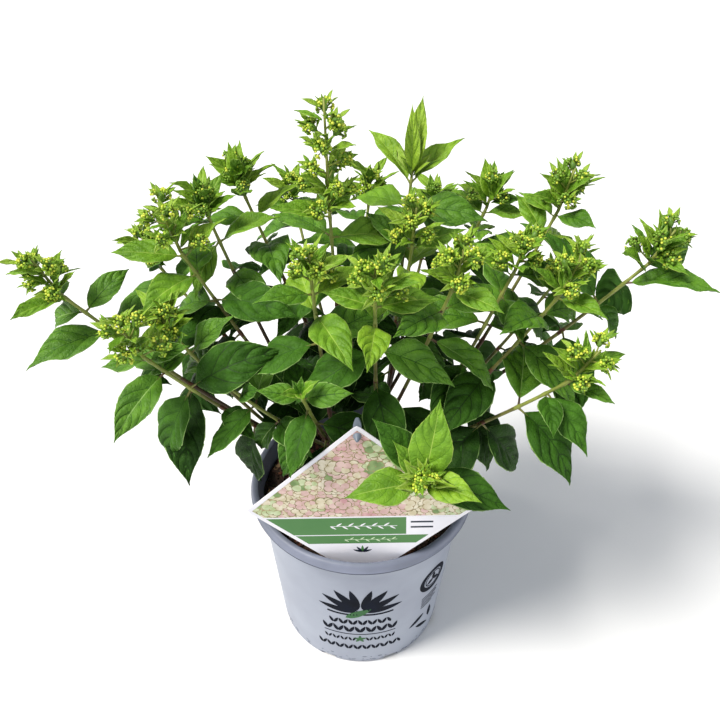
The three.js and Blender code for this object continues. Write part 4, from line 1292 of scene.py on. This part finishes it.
def dress_pot():
    """Blow-moulded pot: a printed body, a grey rolled rim, a stepped shoulder and notched drain holes."""
    lip = POT_HEIGHT - LIP_HEIGHT
    shoulder = POT_HEIGHT - SHOULDER_DROP
    seam = lip + LIP_ROLL
    step = SHOULDER_STEP
    outer = [(r, z, BARE) for r, z in (
        (0, 0), (60, 0), (FOOT_RADIUS - FOOT_CHAMFER, 0), (FOOT_RADIUS - 1.2, 0.7), (pot_radius(3), 3))]
    for z in np.linspace(3.5, shoulder - 1, 30):
        outer.append((pot_radius(z) + WALL_RIPPLE * math.sin(z * 0.9) * (z > 150), z, FILM))
    outer += [(r, z, FILM) for r, z in (
        (pot_radius(shoulder) + 0.2, shoulder), (pot_radius(shoulder) + step, shoulder + 1.6),
        (pot_radius(shoulder + 6) + step, shoulder + 6), (pot_radius(lip) + step, lip - 0.6))]
    outer.append((pot_radius(lip) + step, lip, BARE))
    # The lower round of the rolled lip takes the dark seam material, a painted shade
    for turn in np.radians(np.arange(0, 91, 15)):
        rolled = LIP_LOW_RADIUS - LIP_ROLL * (1 - math.sin(turn))
        outer.append((rolled, lip + LIP_ROLL * (1 - math.cos(turn)), SHADED_SEAM))
    outer.append((LIP_LOW_RADIUS, seam + 0.8, SHADED_SEAM))
    outer += [(r, z, BARE) for r, z in (
        (LIP_LOW_RADIUS + 0.1, seam + 1.4), (LIP_LOW_RADIUS - 0.7, seam + 2.4),
        (LIP_TOP_RADIUS + 1.1, POT_HEIGHT - 4.5), (LIP_TOP_RADIUS + 0.5, POT_HEIGHT - 2.2),
        (LIP_TOP_RADIUS - 0.5, POT_HEIGHT - 0.7), (LIP_TOP_RADIUS - 2, POT_HEIGHT),
        (MOUTH_RADIUS + 1.2, POT_HEIGHT), (MOUTH_RADIUS, POT_HEIGHT - 0.8),
        (MOUTH_RADIUS - 0.5, POT_HEIGHT - 3), (pot_radius(lip) - POT_WALL, lip - 1),
    )]
    for z in np.linspace(lip - 8, POT_FLOOR + 3, 12):
        outer.append((pot_radius(z) - POT_WALL, z, BARE))
    for r in (pot_radius(POT_FLOOR) - POT_WALL - 1, 50, 0):
        outer.append((r, POT_FLOOR, BARE))
    angles = np.linspace(0, 2 * math.pi, POT_SIDES, endpoint=False)
    batch = Batch()
    points, faces, kinds, starts = [], [], [], []
    for r, z, _ in outer:
        starts.append(len(points))
        points += [vector(r * math.cos(a), r * math.sin(a), z) for a in angles[:POT_SIDES if r else 1]]
    for n in range(len(outer) - 1):
        a, b = starts[n], starts[n + 1]
        for i in range(POT_SIDES):
            j = (i + 1) % POT_SIDES
            if outer[n][0] == 0:
                faces.append((a, b + j, b + i))
            elif outer[n + 1][0] == 0:
                faces.append((a + i, a + j, b))
            else:
                faces.append((a + i, a + j, b + j, b + i))
            kinds.append(outer[n + 1][2] if outer[n + 1][2] == outer[n][2] else BARE)
    batch.take(points, faces, kinds)
    pot = batch.build("pot_shell", [PRINT, POLYTHENE, SEAM_PAINTED_SHADE])
    notches = Batch()
    for k in range(DRAIN_COUNT):
        turn = Matrix.Rotation(2 * math.pi * (k + 0.5) / DRAIN_COUNT, 4, "Z")
        spot = turn @ Matrix.Translation((FOOT_RADIUS, 0, 0))
        notches.take(*box_shape((24, DRAIN_WIDTH, 2 * DRAIN_HEIGHT), spot), BARE)
    cutter = notches.build("drain_notches", [PRINT, POLYTHENE, SEAM_PAINTED_SHADE], smooth=False)
    cut = pot.modifiers.new("drains", "BOOLEAN")
    cut.object = cutter
    cut.operation = "DIFFERENCE"
    cut.solver = "EXACT"
    cut.material_mode = "INDEX"
    piece = made_real(pot, "pot_shell")
    bpy.data.objects.remove(cutter)
    sharpen(piece, 40)
    return piece


def sharpen(piece, degrees):
    """Keeps the shading crisp across edges that turn by more than some degrees."""
    work = bmesh.new()
    work.from_mesh(piece.data)
    for edge in work.edges:
        edge.smooth = len(edge.link_faces) == 2 and edge.calc_face_angle(0) < math.radians(degrees)
    for face in work.faces:
        face.smooth = True
    work.to_mesh(piece.data)
    work.free()


# The badge's middle on the wall, in millimetres round it from the front and above the ground
BADGE = (84, 121)
# How far a film of ink stands proud of the wall, and how far it reaches into it
INK_PROUD = 0.22
INK_DEEP = -0.3
# Places in the print's materials
NAVY, LEAF_GREEN, SCUFFED = range(3)


def leaf_half(width, share):
    """Half the width of a flat printed leaf at a share of its length."""
    return width * 1.9 * share ** 0.7 * (1 - share) ** 0.9


def on_wall(x, z, proud):
    """A place on the printed wall, x round it from the front."""
    radius = pot_radius(z) + proud
    a = x / pot_radius(z) - math.pi / 2
    return vector(radius * math.cos(a), radius * math.sin(a), z)


def print_on_wall(batch, places, faces, kind):
    """A film of ink over places given by their way round the wall from the front and their height."""
    front, back = ([on_wall(x, z, proud) for x, z in places] for proud in (INK_PROUD, INK_DEEP))
    batch.take_plate(front, back, faces, kind)


def print_leaf(batch, x, z, turn, length, width, kind):
    """A printed leaf on the pot's front, laid round its wall."""
    c, s = math.cos(math.radians(turn)), math.sin(math.radians(turn))
    places = []
    for share in np.linspace(0, 1, 9):
        half = max(0.06, leaf_half(width, share))
        for w in (-half, 0, half):
            places.append((x + share * length * c - w * s, z + share * length * s + w * c))
    faces = [(n, n + 3, n + 4, n + 1) for r in range(8) for n in (r * 3, r * 3 + 1)]
    print_on_wall(batch, places, faces, kind)


def print_line(batch, path, width, kind):
    """A printed line of some width along a path on the wall."""
    places = []
    for n, (x, z) in enumerate(path):
        before, after = path[max(n - 1, 0)], path[min(n + 1, len(path) - 1)]
        dx, dz = after[0] - before[0], after[1] - before[1]
        size = math.hypot(dx, dz)
        nx, nz = -dz / size * width / 2, dx / size * width / 2
        places += [(x - nx, z - nz), (x + nx, z + nz)]
    faces = [(n, n + 2, n + 3, n + 1) for n in range(0, 2 * len(path) - 2, 2)]
    print_on_wall(batch, places, faces, kind)


def print_row(batch, x, z, wide, tall, count, kind):
    """A row of small upright leaves, leaning by turns to the left and to the right."""
    for k in range(count):
        at = x + wide * (k / (count - 1) - 0.5)
        lean = 68 if k % 2 else 112
        foot = at - tall * 0.5 * math.cos(math.radians(lean))
        print_leaf(batch, foot, z - tall / 2, lean, tall, tall * 0.26, kind)


# Leaves of the printed fan: turn, length and width
FAN_LEAVES = ((10, 40, 6.8), (31, 42, 7.6), (53, 40, 7.6), (75, 35, 6.4))
RING_SIDES = 40
SCUFF_COUNT = 70


def dress_print():
    """A plain garden print: a spread of bold leaves on the front with rows of small ones under it, and a
    round badge with lines and three leaves to the right of it."""
    batch = Batch()
    for flip in (-1, 1):
        for n, (turn, length, width) in enumerate(FAN_LEAVES):
            lean = 90 - flip * (90 - turn)
            print_leaf(batch, flip * (3.5 - n * 0.6), 107 + n * 2, lean, length, width, NAVY)
        stem = [(flip * (34 - 31 * t), 103 - 5 * t + 4 * t * t) for t in np.linspace(0, 1, 10)]
        print_line(batch, stem, 2.6, NAVY)
    print_leaf(batch, -15, 95, 34, 31, 8, LEAF_GREEN)
    print_row(batch, 0, 87, 60, 10.5, 13, NAVY)
    print_row(batch, 0, 72.5, 74, 12.5, 14, NAVY)
    print_line(batch, [(x, 62) for x in np.linspace(-38, 38, 22)], 1.1, NAVY)
    print_row(batch, -21, 52, 30, 7.5, 8, NAVY)
    print_row(batch, 22, 52, 28, 7.5, 8, NAVY)
    for k in range(5):
        print_leaf(batch, 0, 52, 18 + 72 * k, 7, 2.4, LEAF_GREEN)
    print_row(batch, 0, 35, 86, 10, 19, NAVY)
    turns = np.linspace(0, 2 * math.pi, RING_SIDES, endpoint=False)
    belt = []
    for k in range(RING_SIDES):
        onward = (k + 1) % RING_SIDES
        belt.append((k, onward, RING_SIDES + onward, RING_SIDES + k))
    for radii in ((19.5, 13.5), (11.8, 10.6)):
        disc = [(BADGE[0] + r * math.cos(a), BADGE[1] + r * math.sin(a)) for r in radii for a in turns]
        print_on_wall(batch, disc, belt, NAVY)
    for k in range(3):
        print_leaf(batch, *BADGE, 90 + 120 * k, 10.5, 4, NAVY)
    left = BADGE[0] - 14
    for k, wide in enumerate((26, 24, 26, 21, 25, 18)):
        print_line(batch, [(x, 92 - 3.8 * k) for x in np.linspace(left, left + wide, 8)], 1.0, NAVY)
    for k in range(3):
        a = math.radians(90 + 120 * k)
        print_leaf(batch, 76 + 12 * math.cos(a), 45 + 12 * math.sin(a), 210 + 120 * k, 23, 5, NAVY)
    for k in range(SCUFF_COUNT):
        x, z = 260 * (chance(k, 1, 61) - 0.5), 4.5 + 11 * chance(k, 2, 61) ** 2
        size = 0.5 + 1.3 * chance(k, 3, 61) ** 2
        fleck = []
        for n in range(6):
            away = size * (0.6 + 0.8 * chance(k, n, 62))
            a = n * math.pi / 3
            fleck.append((x + 1.6 * away * math.cos(a), z + 0.7 * away * math.sin(a)))
        print_on_wall(batch, fleck, [tuple(range(6))], SCUFFED)
    piece = batch.build("pot_garden_print", [INK, INK_GREEN, SCUFF])
    sharpen(piece, 40)
    return piece


pot_piece = dress_pot()
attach(pot_piece, "root")
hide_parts("pot")
print_piece = dress_print()
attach(print_piece, "root")


# Potting bark

# Damp bark fines are dark, rough and without gloss
EARTH = finish("damp_bark_fines", "3a2a20", "1c1410", 6, 0.92, (3, 2.2, 1.0))
# Chips of bark, from old dark ones to fresh tan ones, with a dry grain
CHIPS = [
    finish("bark_chip_dark", "4a3226", "2c1d16", 5, 0.85, (2, 0.6, 0.8)),
    finish("bark_chip_rust", "7d4a2e", "5a3220", 5, 0.82, (2, 0.6, 0.8)),
    finish("bark_chip_tan", "a58763", "86694a", 5, 0.8, (2, 0.6, 0.8)),
]
SOIL_SIDES = 150
SOIL_RINGS = 45


def soil_height(x, y):
    """How far the uneven bark rises or sinks at a place."""
    return (1.5 * math.sin(x * 0.11 + 1.3) * math.cos(y * 0.13) + 1.2 * math.sin(x * 0.31 + y * 0.27)
            + 1.6 * (chance(round(x), round(y), 41) - 0.5))


def dress_soil():
    """The bark mix: uneven on top, flat under the stool, and down to the pot's floor."""
    inner = pot_radius(SOIL_TOP) - POT_WALL - 0.6
    low = pot_radius(POT_FLOOR) - POT_WALL - 2
    angles = [2 * math.pi * i / SOIL_SIDES for i in range(SOIL_SIDES)]
    radii = np.linspace(0, inner, SOIL_RINGS + 1)[1:]
    points = [vector(0, 0, SOIL_TOP)]
    for r in radii:
        flat = min(1, max(0, (r - STOOL_FOOT_RADIUS - 3) / 8))
        for a in angles:
            x, y = r * math.cos(a), r * math.sin(a)
            points.append(vector(x, y, SOIL_TOP - 0.5 + soil_height(x, y) * flat - 1.6 * (r / inner) ** 8))
    points += [vector(low * math.cos(a), low * math.sin(a), POT_FLOOR + GAP) for a in angles]
    faces = [(0, 1 + i, 1 + (i + 1) % SOIL_SIDES) for i in range(SOIL_SIDES)]
    for n in range(len(radii)):
        a, b = 1 + n * SOIL_SIDES, 1 + (n + 1) * SOIL_SIDES
        for i in range(SOIL_SIDES):
            j = (i + 1) % SOIL_SIDES
            faces.append((a + i, b + i, b + j, a + j))
    faces.append(tuple(range(len(points) - 1, len(points) - 1 - SOIL_SIDES, -1)))
    batch = Batch()
    batch.take(points, faces, 0)
    return batch.build("bark_mix", [EARTH])


def chip_tree():
    """Geometry Nodes: flat splinters of bark strewn over a surface, turned and sized by fixed seeds."""
    tree = bpy.data.node_groups.new("strewn_bark", "GeometryNodeTree")
    tree.interface.new_socket("Surface", in_out="INPUT", socket_type="NodeSocketGeometry")
    tree.interface.new_socket("Chips", in_out="OUTPUT", socket_type="NodeSocketGeometry")
    for name, kind, value in (
            ("Chips per square metre", "NodeSocketFloat", 9000.0), ("Seed", "NodeSocketInt", 3),
            ("Chip length", "NodeSocketFloat", 9 * MM), ("Chip thickness", "NodeSocketFloat", 2.4 * MM)):
        tree.interface.new_socket(name, in_out="INPUT", socket_type=kind).default_value = value

    def drawn(low, high, seed):
        """A vector drawn between two for each point, by its own seed."""
        made = add(tree, "FunctionNodeRandomValue", {"Min": low, "Max": high, "Seed": seed},
                   data_type="FLOAT_VECTOR")
        return made.outputs["Value"]

    entry = add(tree, "NodeGroupInput")
    strewn = add(tree, "GeometryNodeDistributePointsOnFaces", {
        "Mesh": entry.outputs["Surface"], "Density": entry.outputs["Chips per square metre"],
        "Seed": entry.outputs["Seed"]})
    size = add(tree, "ShaderNodeCombineXYZ", {
        "X": entry.outputs["Chip length"], "Z": entry.outputs["Chip thickness"]})
    width = add(tree, "ShaderNodeMath", {0: entry.outputs["Chip length"], 1: 0.5}, operation="MULTIPLY")
    tree.links.new(width.outputs["Value"], size.inputs["Y"])
    block = add(tree, "GeometryNodeMeshCube", {
        "Size": size.outputs["Vector"], "Vertices X": 3, "Vertices Y": 3})
    rough = drawn((-0.0012, -0.0012, -0.0006), (0.0012, 0.0012, 0.0006), 5)
    broken = add(tree, "GeometryNodeSetPosition", {"Geometry": block.outputs["Mesh"], "Offset": rough})
    turn = drawn((-0.5, -0.5, 0.0), (0.5, 0.5, 6.28), 7)
    scale = drawn((0.3, 0.35, 0.5), (1.2, 1.1, 1.2), 9)
    laid = add(tree, "GeometryNodeInstanceOnPoints", {
        "Points": strewn.outputs["Points"], "Instance": broken.outputs["Geometry"],
        "Rotation": turn, "Scale": scale})
    real = add(tree, "GeometryNodeRealizeInstances", {"Geometry": laid.outputs["Instances"]})
    coat = add(tree, "GeometryNodeSetMaterial", {"Geometry": real.outputs["Geometry"]})
    add(tree, "NodeGroupOutput", {"Chips": coat.outputs["Geometry"]})
    return tree, coat


# The bark is strewn over square cells of ground, in millimetres, but not beside the label
CHIP_CELL = 4
CHIP_CELLS_OUT = 24
CHIPS_OUT_TO = 95
BESIDE_LABEL = (34, 9)


def dress_chips(name, material, density, seed, length):
    """Chips laid on the part of the bark mix that is clear of the pot, the stool and the label."""
    batch = Batch()
    middles = [cell * CHIP_CELL + CHIP_CELL // 2 for cell in range(-CHIP_CELLS_OUT, CHIP_CELLS_OUT)]
    reach = CHIP_CELL // 2
    for x in middles:
        for y in middles:
            at_label = abs(x) < BESIDE_LABEL[0] and abs(y - CARD_CENTRE[1]) < BESIDE_LABEL[1]
            if at_label or not STOOL_FOOT_RADIUS + 7 < math.hypot(x, y) < CHIPS_OUT_TO:
                continue
            corners = [(x + reach * a, y + reach * b) for a, b in ((-1, -1), (1, -1), (1, 1), (-1, 1))]
            points = [vector(a, b, SOIL_TOP + soil_height(a, b) + 0.2) for a, b in corners]
            batch.take(points, [(0, 1, 2, 3)], 0)
    carrier = batch.build("chip_ground", [EARTH])
    tree, coat = chip_tree()
    coat.inputs["Material"].default_value = material
    modifier = carrier.modifiers.new("chips", "NODES")
    modifier.node_group = tree
    values = {
        "Chips per square metre": density,
        "Seed": seed,
        "Chip length": length * MM,
        "Chip thickness": length * 0.24 * MM,
    }
    for item in tree.interface.items_tree:
        if item.item_type == "SOCKET" and item.in_out == "INPUT" and item.name in values:
            modifier[item.identifier] = values[item.name]
    return made_real(carrier, name)


soil_piece = dress_soil()
chip_pieces = [
    dress_chips("bark_chips_dark", CHIPS[0], 22000.0, 3, 9),
    dress_chips("bark_chips_rust", CHIPS[1], 11000.0, 4, 10),
    dress_chips("bark_chips_tan", CHIPS[2], 5500.0, 6, 10),
]
for piece in [soil_piece] + chip_pieces:
    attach(piece, "root")
    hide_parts("potting_bark")


# Label

# Coated card has a faint sheen, and its inks lie flat in it
CARD_WHITE = finish("label_stock_white", "eceaf0", "e2e2ea", 30, 0.32)
CARD_INKS = [
    finish("label_ink_" + name, light, dark, grain_mm, 0.35, Specular_IOR_Level=0.3)
    for name, light, dark, grain_mm in (
        ("shade", "93865c", "716d44", 9),
        ("pink", "d8bcb5", "c5a29d", 7),
        ("cream", "ded6c2", "c7bc9c", 7),
        ("pale_green", "c9d2af", "a9b884", 7),
        ("rose", "d4adaa", "bf8e91", 7),
        ("leaf", "8ca46a", "6a854e", 7),
        ("band", "4f8046", "467a40", 40),
        ("pale_line", "cfe0c0", "c4d8b4", 40),
        ("navy", "20293a", "1a2230", 40),
        ("warm_shade", "aa9871", "8f7c55", 6),
    )
]
# Places in the card's materials
WHITE, SHADE, PINK, CREAM, PALE_GREEN, ROSE, LEAF, BAND, PALE_LINE, DARK_BLUE, WARM_SHADE = range(11)
# Sideways and up in the plane of the card
CARD_H = np.array([math.cos(math.radians(CARD_ROLL)), 0.0, math.sin(math.radians(CARD_ROLL))])
CARD_V = np.array([-math.sin(math.radians(CARD_ROLL)), 0.0, math.cos(math.radians(CARD_ROLL))])
HALF_DIAGONAL = CARD_SIDE / math.sqrt(2)
CARD_CORNER = 3.0
CARD_EDGE = 4
INK_INTO_CARD = -0.15
# Height in millimetres between printed shapes that lie over each other
LAYER = 0.0025
BLOSSOM_ROWS = 19
BLOSSOM_COLUMNS = 30


def clipped(shape, region):
    """A flat shape cut to a convex region, both as points in counter-clockwise order."""
    for n, a in enumerate(region):
        b = region[(n + 1) % len(region)]
        edge = (b[0] - a[0], b[1] - a[1])
        kept = []
        for k, p in enumerate(shape):
            q = shape[k - 1]
            inside_p = edge[0] * (p[1] - a[1]) - edge[1] * (p[0] - a[0])
            inside_q = edge[0] * (q[1] - a[1]) - edge[1] * (q[0] - a[0])
            if (inside_p >= 0) != (inside_q >= 0):
                t = inside_q / (inside_q - inside_p)
                kept.append((q[0] + (p[0] - q[0]) * t, q[1] + (p[1] - q[1]) * t))
            if inside_p >= 0:
                kept.append(p)
        shape = kept
        if len(shape) < 3:
            return []
    return shape


def card_point(h, v, out):
    """A place h sideways and v up from the card's middle, and out to its front."""
    return CARD_CENTRE + CARD_H * h + CARD_V * v + np.array([0.0, -out, 0.0])


def strip(low, high):
    """The convex part of the card's inner field between two heights."""
    reach = HALF_DIAGONAL - CARD_EDGE * math.sqrt(2)
    corners = [(-(reach - abs(low)), low), (reach - abs(low), low)]
    if low < 0 < high:
        corners.append((reach, 0))
    corners.append((reach - abs(high), high))
    if high < reach:
        corners.append((-(reach - abs(high)), high))
    if low < 0 < high:
        corners.append((-reach, 0))
    return corners


def lay(batch, shape, out, kind):
    """Prints a flat shape on the card, its top at some height over the card's face."""
    if len(shape) > 2:
        half = CARD_THICKNESS / 2
        front, back = ([card_point(h, v, half + away) for h, v in shape] for away in (out, INK_INTO_CARD))
        batch.take_plate(front, back, [tuple(range(len(shape)))], kind)


def lay_leaf(batch, h, v, turn, length, width, out, kind):
    """Prints a leaf on the card."""
    c, s = math.cos(math.radians(turn)), math.sin(math.radians(turn))
    sides = [(t * length, leaf_half(width, t)) for t in np.linspace(0, 1, 7)[1:]]
    outline = [(0, 0)] + [(u, -w) for u, w in sides] + [(u, w) for u, w in sides[-2::-1]]
    lay(batch, [(h + u * c - w * s, v + u * s + w * c) for u, w in outline], out, kind)


def lay_blossom(batch, h, v, row, col, field, tones):
    """Prints a blossom of four round petals over its shade, cut to the field."""
    lift = 0.06 + LAYER * 6 * (row % 4 * 4 + col % 4)
    size = 5.0 + 3.4 * chance(row, col, 54)
    start = 2 * math.pi * chance(row, col, 55)
    ring = []
    for b in np.linspace(0, 2 * math.pi, 16, endpoint=False):
        away = size * 1.1 * (0.92 + 0.12 * math.cos(4 * (b - start)))
        ring.append((h + away * math.cos(b), v + away * math.sin(b)))
    lay(batch, clipped(ring, field), lift, SHADE if chance(row, col, 56) < 0.4 else WARM_SHADE)
    for k in range(4):
        a = start + math.pi / 2 * k
        c, s = math.cos(a), math.sin(a)
        ring = []
        for b in np.linspace(0, 2 * math.pi, 10, endpoint=False):
            along = size * (0.5 + 0.5 * math.cos(b))
            side = size * 0.47 * math.sin(b) * (1 + 0.3 * math.cos(b))
            ring.append((h + along * c - side * s, v + along * s + side * c))
        tone = tones[chance(row * 30 + col, k, 57) < 0.3]
        lay(batch, clipped(ring, field), lift + LAYER * (k + 1), tone)
    turns = np.linspace(0, 2 * math.pi, 6, endpoint=False)
    dot = [(h + 0.7 * math.cos(b), v + 0.7 * math.sin(b)) for b in turns]
    lay(batch, clipped(dot, field), lift + LAYER * 5, LEAF if tones[0] == PALE_GREEN else WARM_SHADE)


def blossom_tones(h, v, luck, edge):
    """Two inks for a blossom's petals: they drift over the field, and grow greener to its edge."""
    if luck < 0.04 or (edge and luck < 0.3):
        return LEAF, PALE_GREEN
    if edge:
        return PALE_GREEN, CREAM
    drift = 0.55 * math.sin(h * 0.035 + 1.2) + 0.5 * math.sin(v * 0.07 + h * 0.02 + 2.4) + 0.9 * (luck - 0.5)
    if drift > 0.6:
        return PINK, ROSE
    if drift > 0.2:
        return PINK, CREAM
    return (CREAM, PINK) if drift > -0.5 else (CREAM, PALE_GREEN)


def dress_card():
    """A plain garden label: a field of round blossoms over two green bands, with a white edge and foot."""
    batch = Batch()
    outline = []
    for k in range(4):
        a = math.pi / 2 * k
        for side in (-1, 0, 1):
            turn = a + math.pi / 2 * side
            cut = CARD_CORNER if side else CARD_CORNER * 0.45
            outline.append([
                HALF_DIAGONAL * part(a) - part(a) * cut + part(turn) * CARD_CORNER * abs(side) * 0.9
                for part in (math.cos, math.sin)])
    half = CARD_THICKNESS / 2
    count = len(outline)
    points = [card_point(h, v, out) for out in (half, -half) for h, v in outline]
    faces = [tuple(range(count)), tuple(range(2 * count - 1, count - 1, -1))]
    faces += [(i, i + count, (i + 1) % count + count, (i + 1) % count) for i in range(count)]
    batch.take(points, faces, WHITE)
    reach = HALF_DIAGONAL - CARD_EDGE * math.sqrt(2)
    field = strip(-9, reach)
    lay(batch, field, 0.05, SHADE)
    lay(batch, strip(-34, -11), 0.05, BAND)
    lay(batch, strip(-46.5, -35.2), 0.05, BAND)
    patch = [(40, -35), (reach, -35), (reach, -10), (40, -10)]
    lay(batch, clipped(patch, strip(-34, -11)), 0.1, WHITE)
    for low in (-18.5, -25.5):
        lay(batch, [(44, low), (64, low), (64, low + 2.2), (44, low + 2.2)], 0.15, DARK_BLUE)
    for low, high, left, right, leaves, size, kind in (
            (-22.6, -22.1, -28, 32, 11, 6.8, WHITE), (-41.2, -40.8, -16, 32, 10, 5, PALE_LINE)):
        lay(batch, [(left, low), (right, low), (right, high), (left, high)], 0.1, kind)
        for k in range(leaves):
            foot = left + (right - left - size) * k / (leaves - 1)
            lay_leaf(batch, foot, (low + high) / 2, 38 if k % 2 else -38, size, size * 0.2, 0.11, kind)
    for turn in (22, 55, 90, 125, 158):
        lay_leaf(batch, 0, -59, turn, 9.5, 2.0, 0.1, BAND if turn == 90 else DARK_BLUE)
    for row in range(BLOSSOM_ROWS):
        for col in range(BLOSSOM_COLUMNS):
            h = -reach + col * 7.0 + 3.5 * (row % 2) + 5 * (chance(row, col, 51) - 0.5)
            v = -11 + row * 6.0 + 4.5 * (chance(row, col, 52) - 0.5)
            if abs(h) + abs(v) > reach + 5:
                continue
            edge = abs(h) > reach - 22 or (v > 45 and h > 8)
            lay_blossom(batch, h, v, row, col, field, blossom_tones(h, v, chance(row, col, 53), edge))
    piece = batch.build("label_face", [CARD_WHITE] + CARD_INKS, smooth=False)
    sharpen(piece, 40)
    return piece


# Smooth grey plastic with a low gloss
HOLDER_PLASTIC = finish("holder_polypropylene", "6f7a88", "5e6875", 20, 0.42, (1.2, 0.1, 0.4))
# The turned peg: places along it, before the card, and its radius there
PEG_STATIONS = (
    (-7.4, 0.5), (-7.2, 1.0), (-6.5, 1.4), (-4.0, 2.5), (-1.6, 3.5), (-0.9, 3.6), (-0.6, 3.3), (-0.5, 2.4))


def dress_holder():
    """The holder: a stake behind the card, drawn in at its top, with a cone-ended peg through the card."""
    peg = peg_place()
    back = CARD_THICKNESS / 2 + GAP
    top = peg[2] + PEG_BELOW_CORNER / 2 + HOLDER_ABOVE_CORNER + 3
    half = HOLDER_WIDTH / 2
    right = [(half, HOLDER_FOOT), (half, top - 9), (0.85 * half, top - 5), (0.55 * half, top - 1.6)]
    right.append((0.3 * half, top))
    outline = [(peg[0] + x, peg[1] + back, z) for x, z in right + [(-x, z) for x, z in right[::-1]]]
    work = bmesh.new()
    front = work.faces.new([work.verts.new(place) for place in outline])
    grown = bmesh.ops.extrude_face_region(work, geom=[front])
    moved = [item for item in grown["geom"] if isinstance(item, bmesh.types.BMVert)]
    bmesh.ops.translate(work, verts=moved, vec=(0, HOLDER_THICKNESS, 0))
    bmesh.ops.recalc_face_normals(work, faces=work.faces[:])
    bmesh.ops.bevel(work, geom=work.edges[:], offset=0.5, segments=3, affect="EDGES", profile=0.6)
    mesh = bpy.data.meshes.new("label_stake")
    work.to_mesh(mesh)
    work.free()
    batch = Batch()
    batch.take([np.array(v.co) for v in mesh.vertices], [tuple(p.vertices) for p in mesh.polygons], 0)
    turned = (*PEG_STATIONS, (back + 1, 2.4))
    places = [(peg + vector(0, y, 0), vector(0, 0, 1), vector(1, 0, 0)) for y, _ in turned]
    batch.take(*round_tube(places, [r for _, r in turned], 24), 0)
    piece = batch.build("label_stake", [HOLDER_PLASTIC])
    sharpen(piece, 45)
    return piece


card_piece = dress_card()
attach(card_piece, "root")
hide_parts("label_card")
holder_piece = dress_holder()
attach(holder_piece, "root")
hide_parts("label_holder")


# Floor, light and camera

def make_stage():
    """A plain pale floor without gloss, 12 m wide."""
    mesh = bpy.data.meshes.new("studio_floor")
    mesh.from_pydata([(-6, -6, 0), (6, -6, 0), (6, 6, 0), (-6, 6, 0)], [], [(0, 1, 2, 3)])
    floor = show("studio_floor", mesh)
    mesh.materials.append(finish("matt_white_floor", "f4f5f6", "f1f2f4", 400, 0.9))


def make_light(name, toward, strength, spread_deg, tint):
    """Soft light from far away, out of a patch of sky as wide as spread_deg."""
    lamp = bpy.data.lights.new(name, "SUN")
    lamp.energy = strength
    lamp.angle = math.radians(spread_deg)
    lamp.color = linear(tint)[:3]
    holder = show(name, lamp)
    holder.matrix_world = Vector(toward).to_track_quat("Z", "Y").to_matrix().to_4x4()


SKY_STRENGTH = 0.46


def make_world():
    """An even pale sky that fills the shadows."""
    world = bpy.data.worlds.new("soft_sky")
    world.use_nodes = True
    shade = world.node_tree.nodes["Background"]
    shade.inputs["Color"].default_value = linear("eef2f8")
    shade.inputs["Strength"].default_value = SKY_STRENGTH
    bpy.context.scene.world = world


# The camera that the pot's rim and base in the photograph fit, in millimetres and degrees
CAMERA_PLACE = np.array([-3.0, -549.0, 791.0])
CAMERA_DIP = 38.6
CAMERA_ROLL = 0.6
CAMERA_LENS = 39.0


def make_camera():
    """Sets up the view of the photograph."""
    dip, roll = math.radians(CAMERA_DIP), math.radians(CAMERA_ROLL)
    forward = Vector((0, math.cos(dip), -math.sin(dip)))
    level, tall = Vector((1, 0, 0)), Vector((0, math.sin(dip), math.cos(dip)))
    right = level * math.cos(roll) + tall * math.sin(roll)
    upward = tall * math.cos(roll) - level * math.sin(roll)
    lens = bpy.data.cameras.new("camera")
    lens.lens = CAMERA_LENS
    lens.sensor_width = 36
    lens.clip_start = 0.01
    camera = show("camera", lens)
    turn = Matrix((right, upward, -forward)).transposed().to_4x4()
    camera.matrix_world = Matrix.Translation(Vector(CAMERA_PLACE * MM)) @ turn
    bpy.context.scene.camera = camera


make_stage()
make_world()
make_light("key_above_left", (-0.7, -0.25, 1), 4.1, 24, "fffaf2")
make_light("fill_front_right", (0.8, -0.7, 0.5), 0.5, 60, "f6faff")
make_camera()
bpy.context.scene.view_settings.view_transform = "Standard"
bpy.context.scene.view_settings.look = "None"
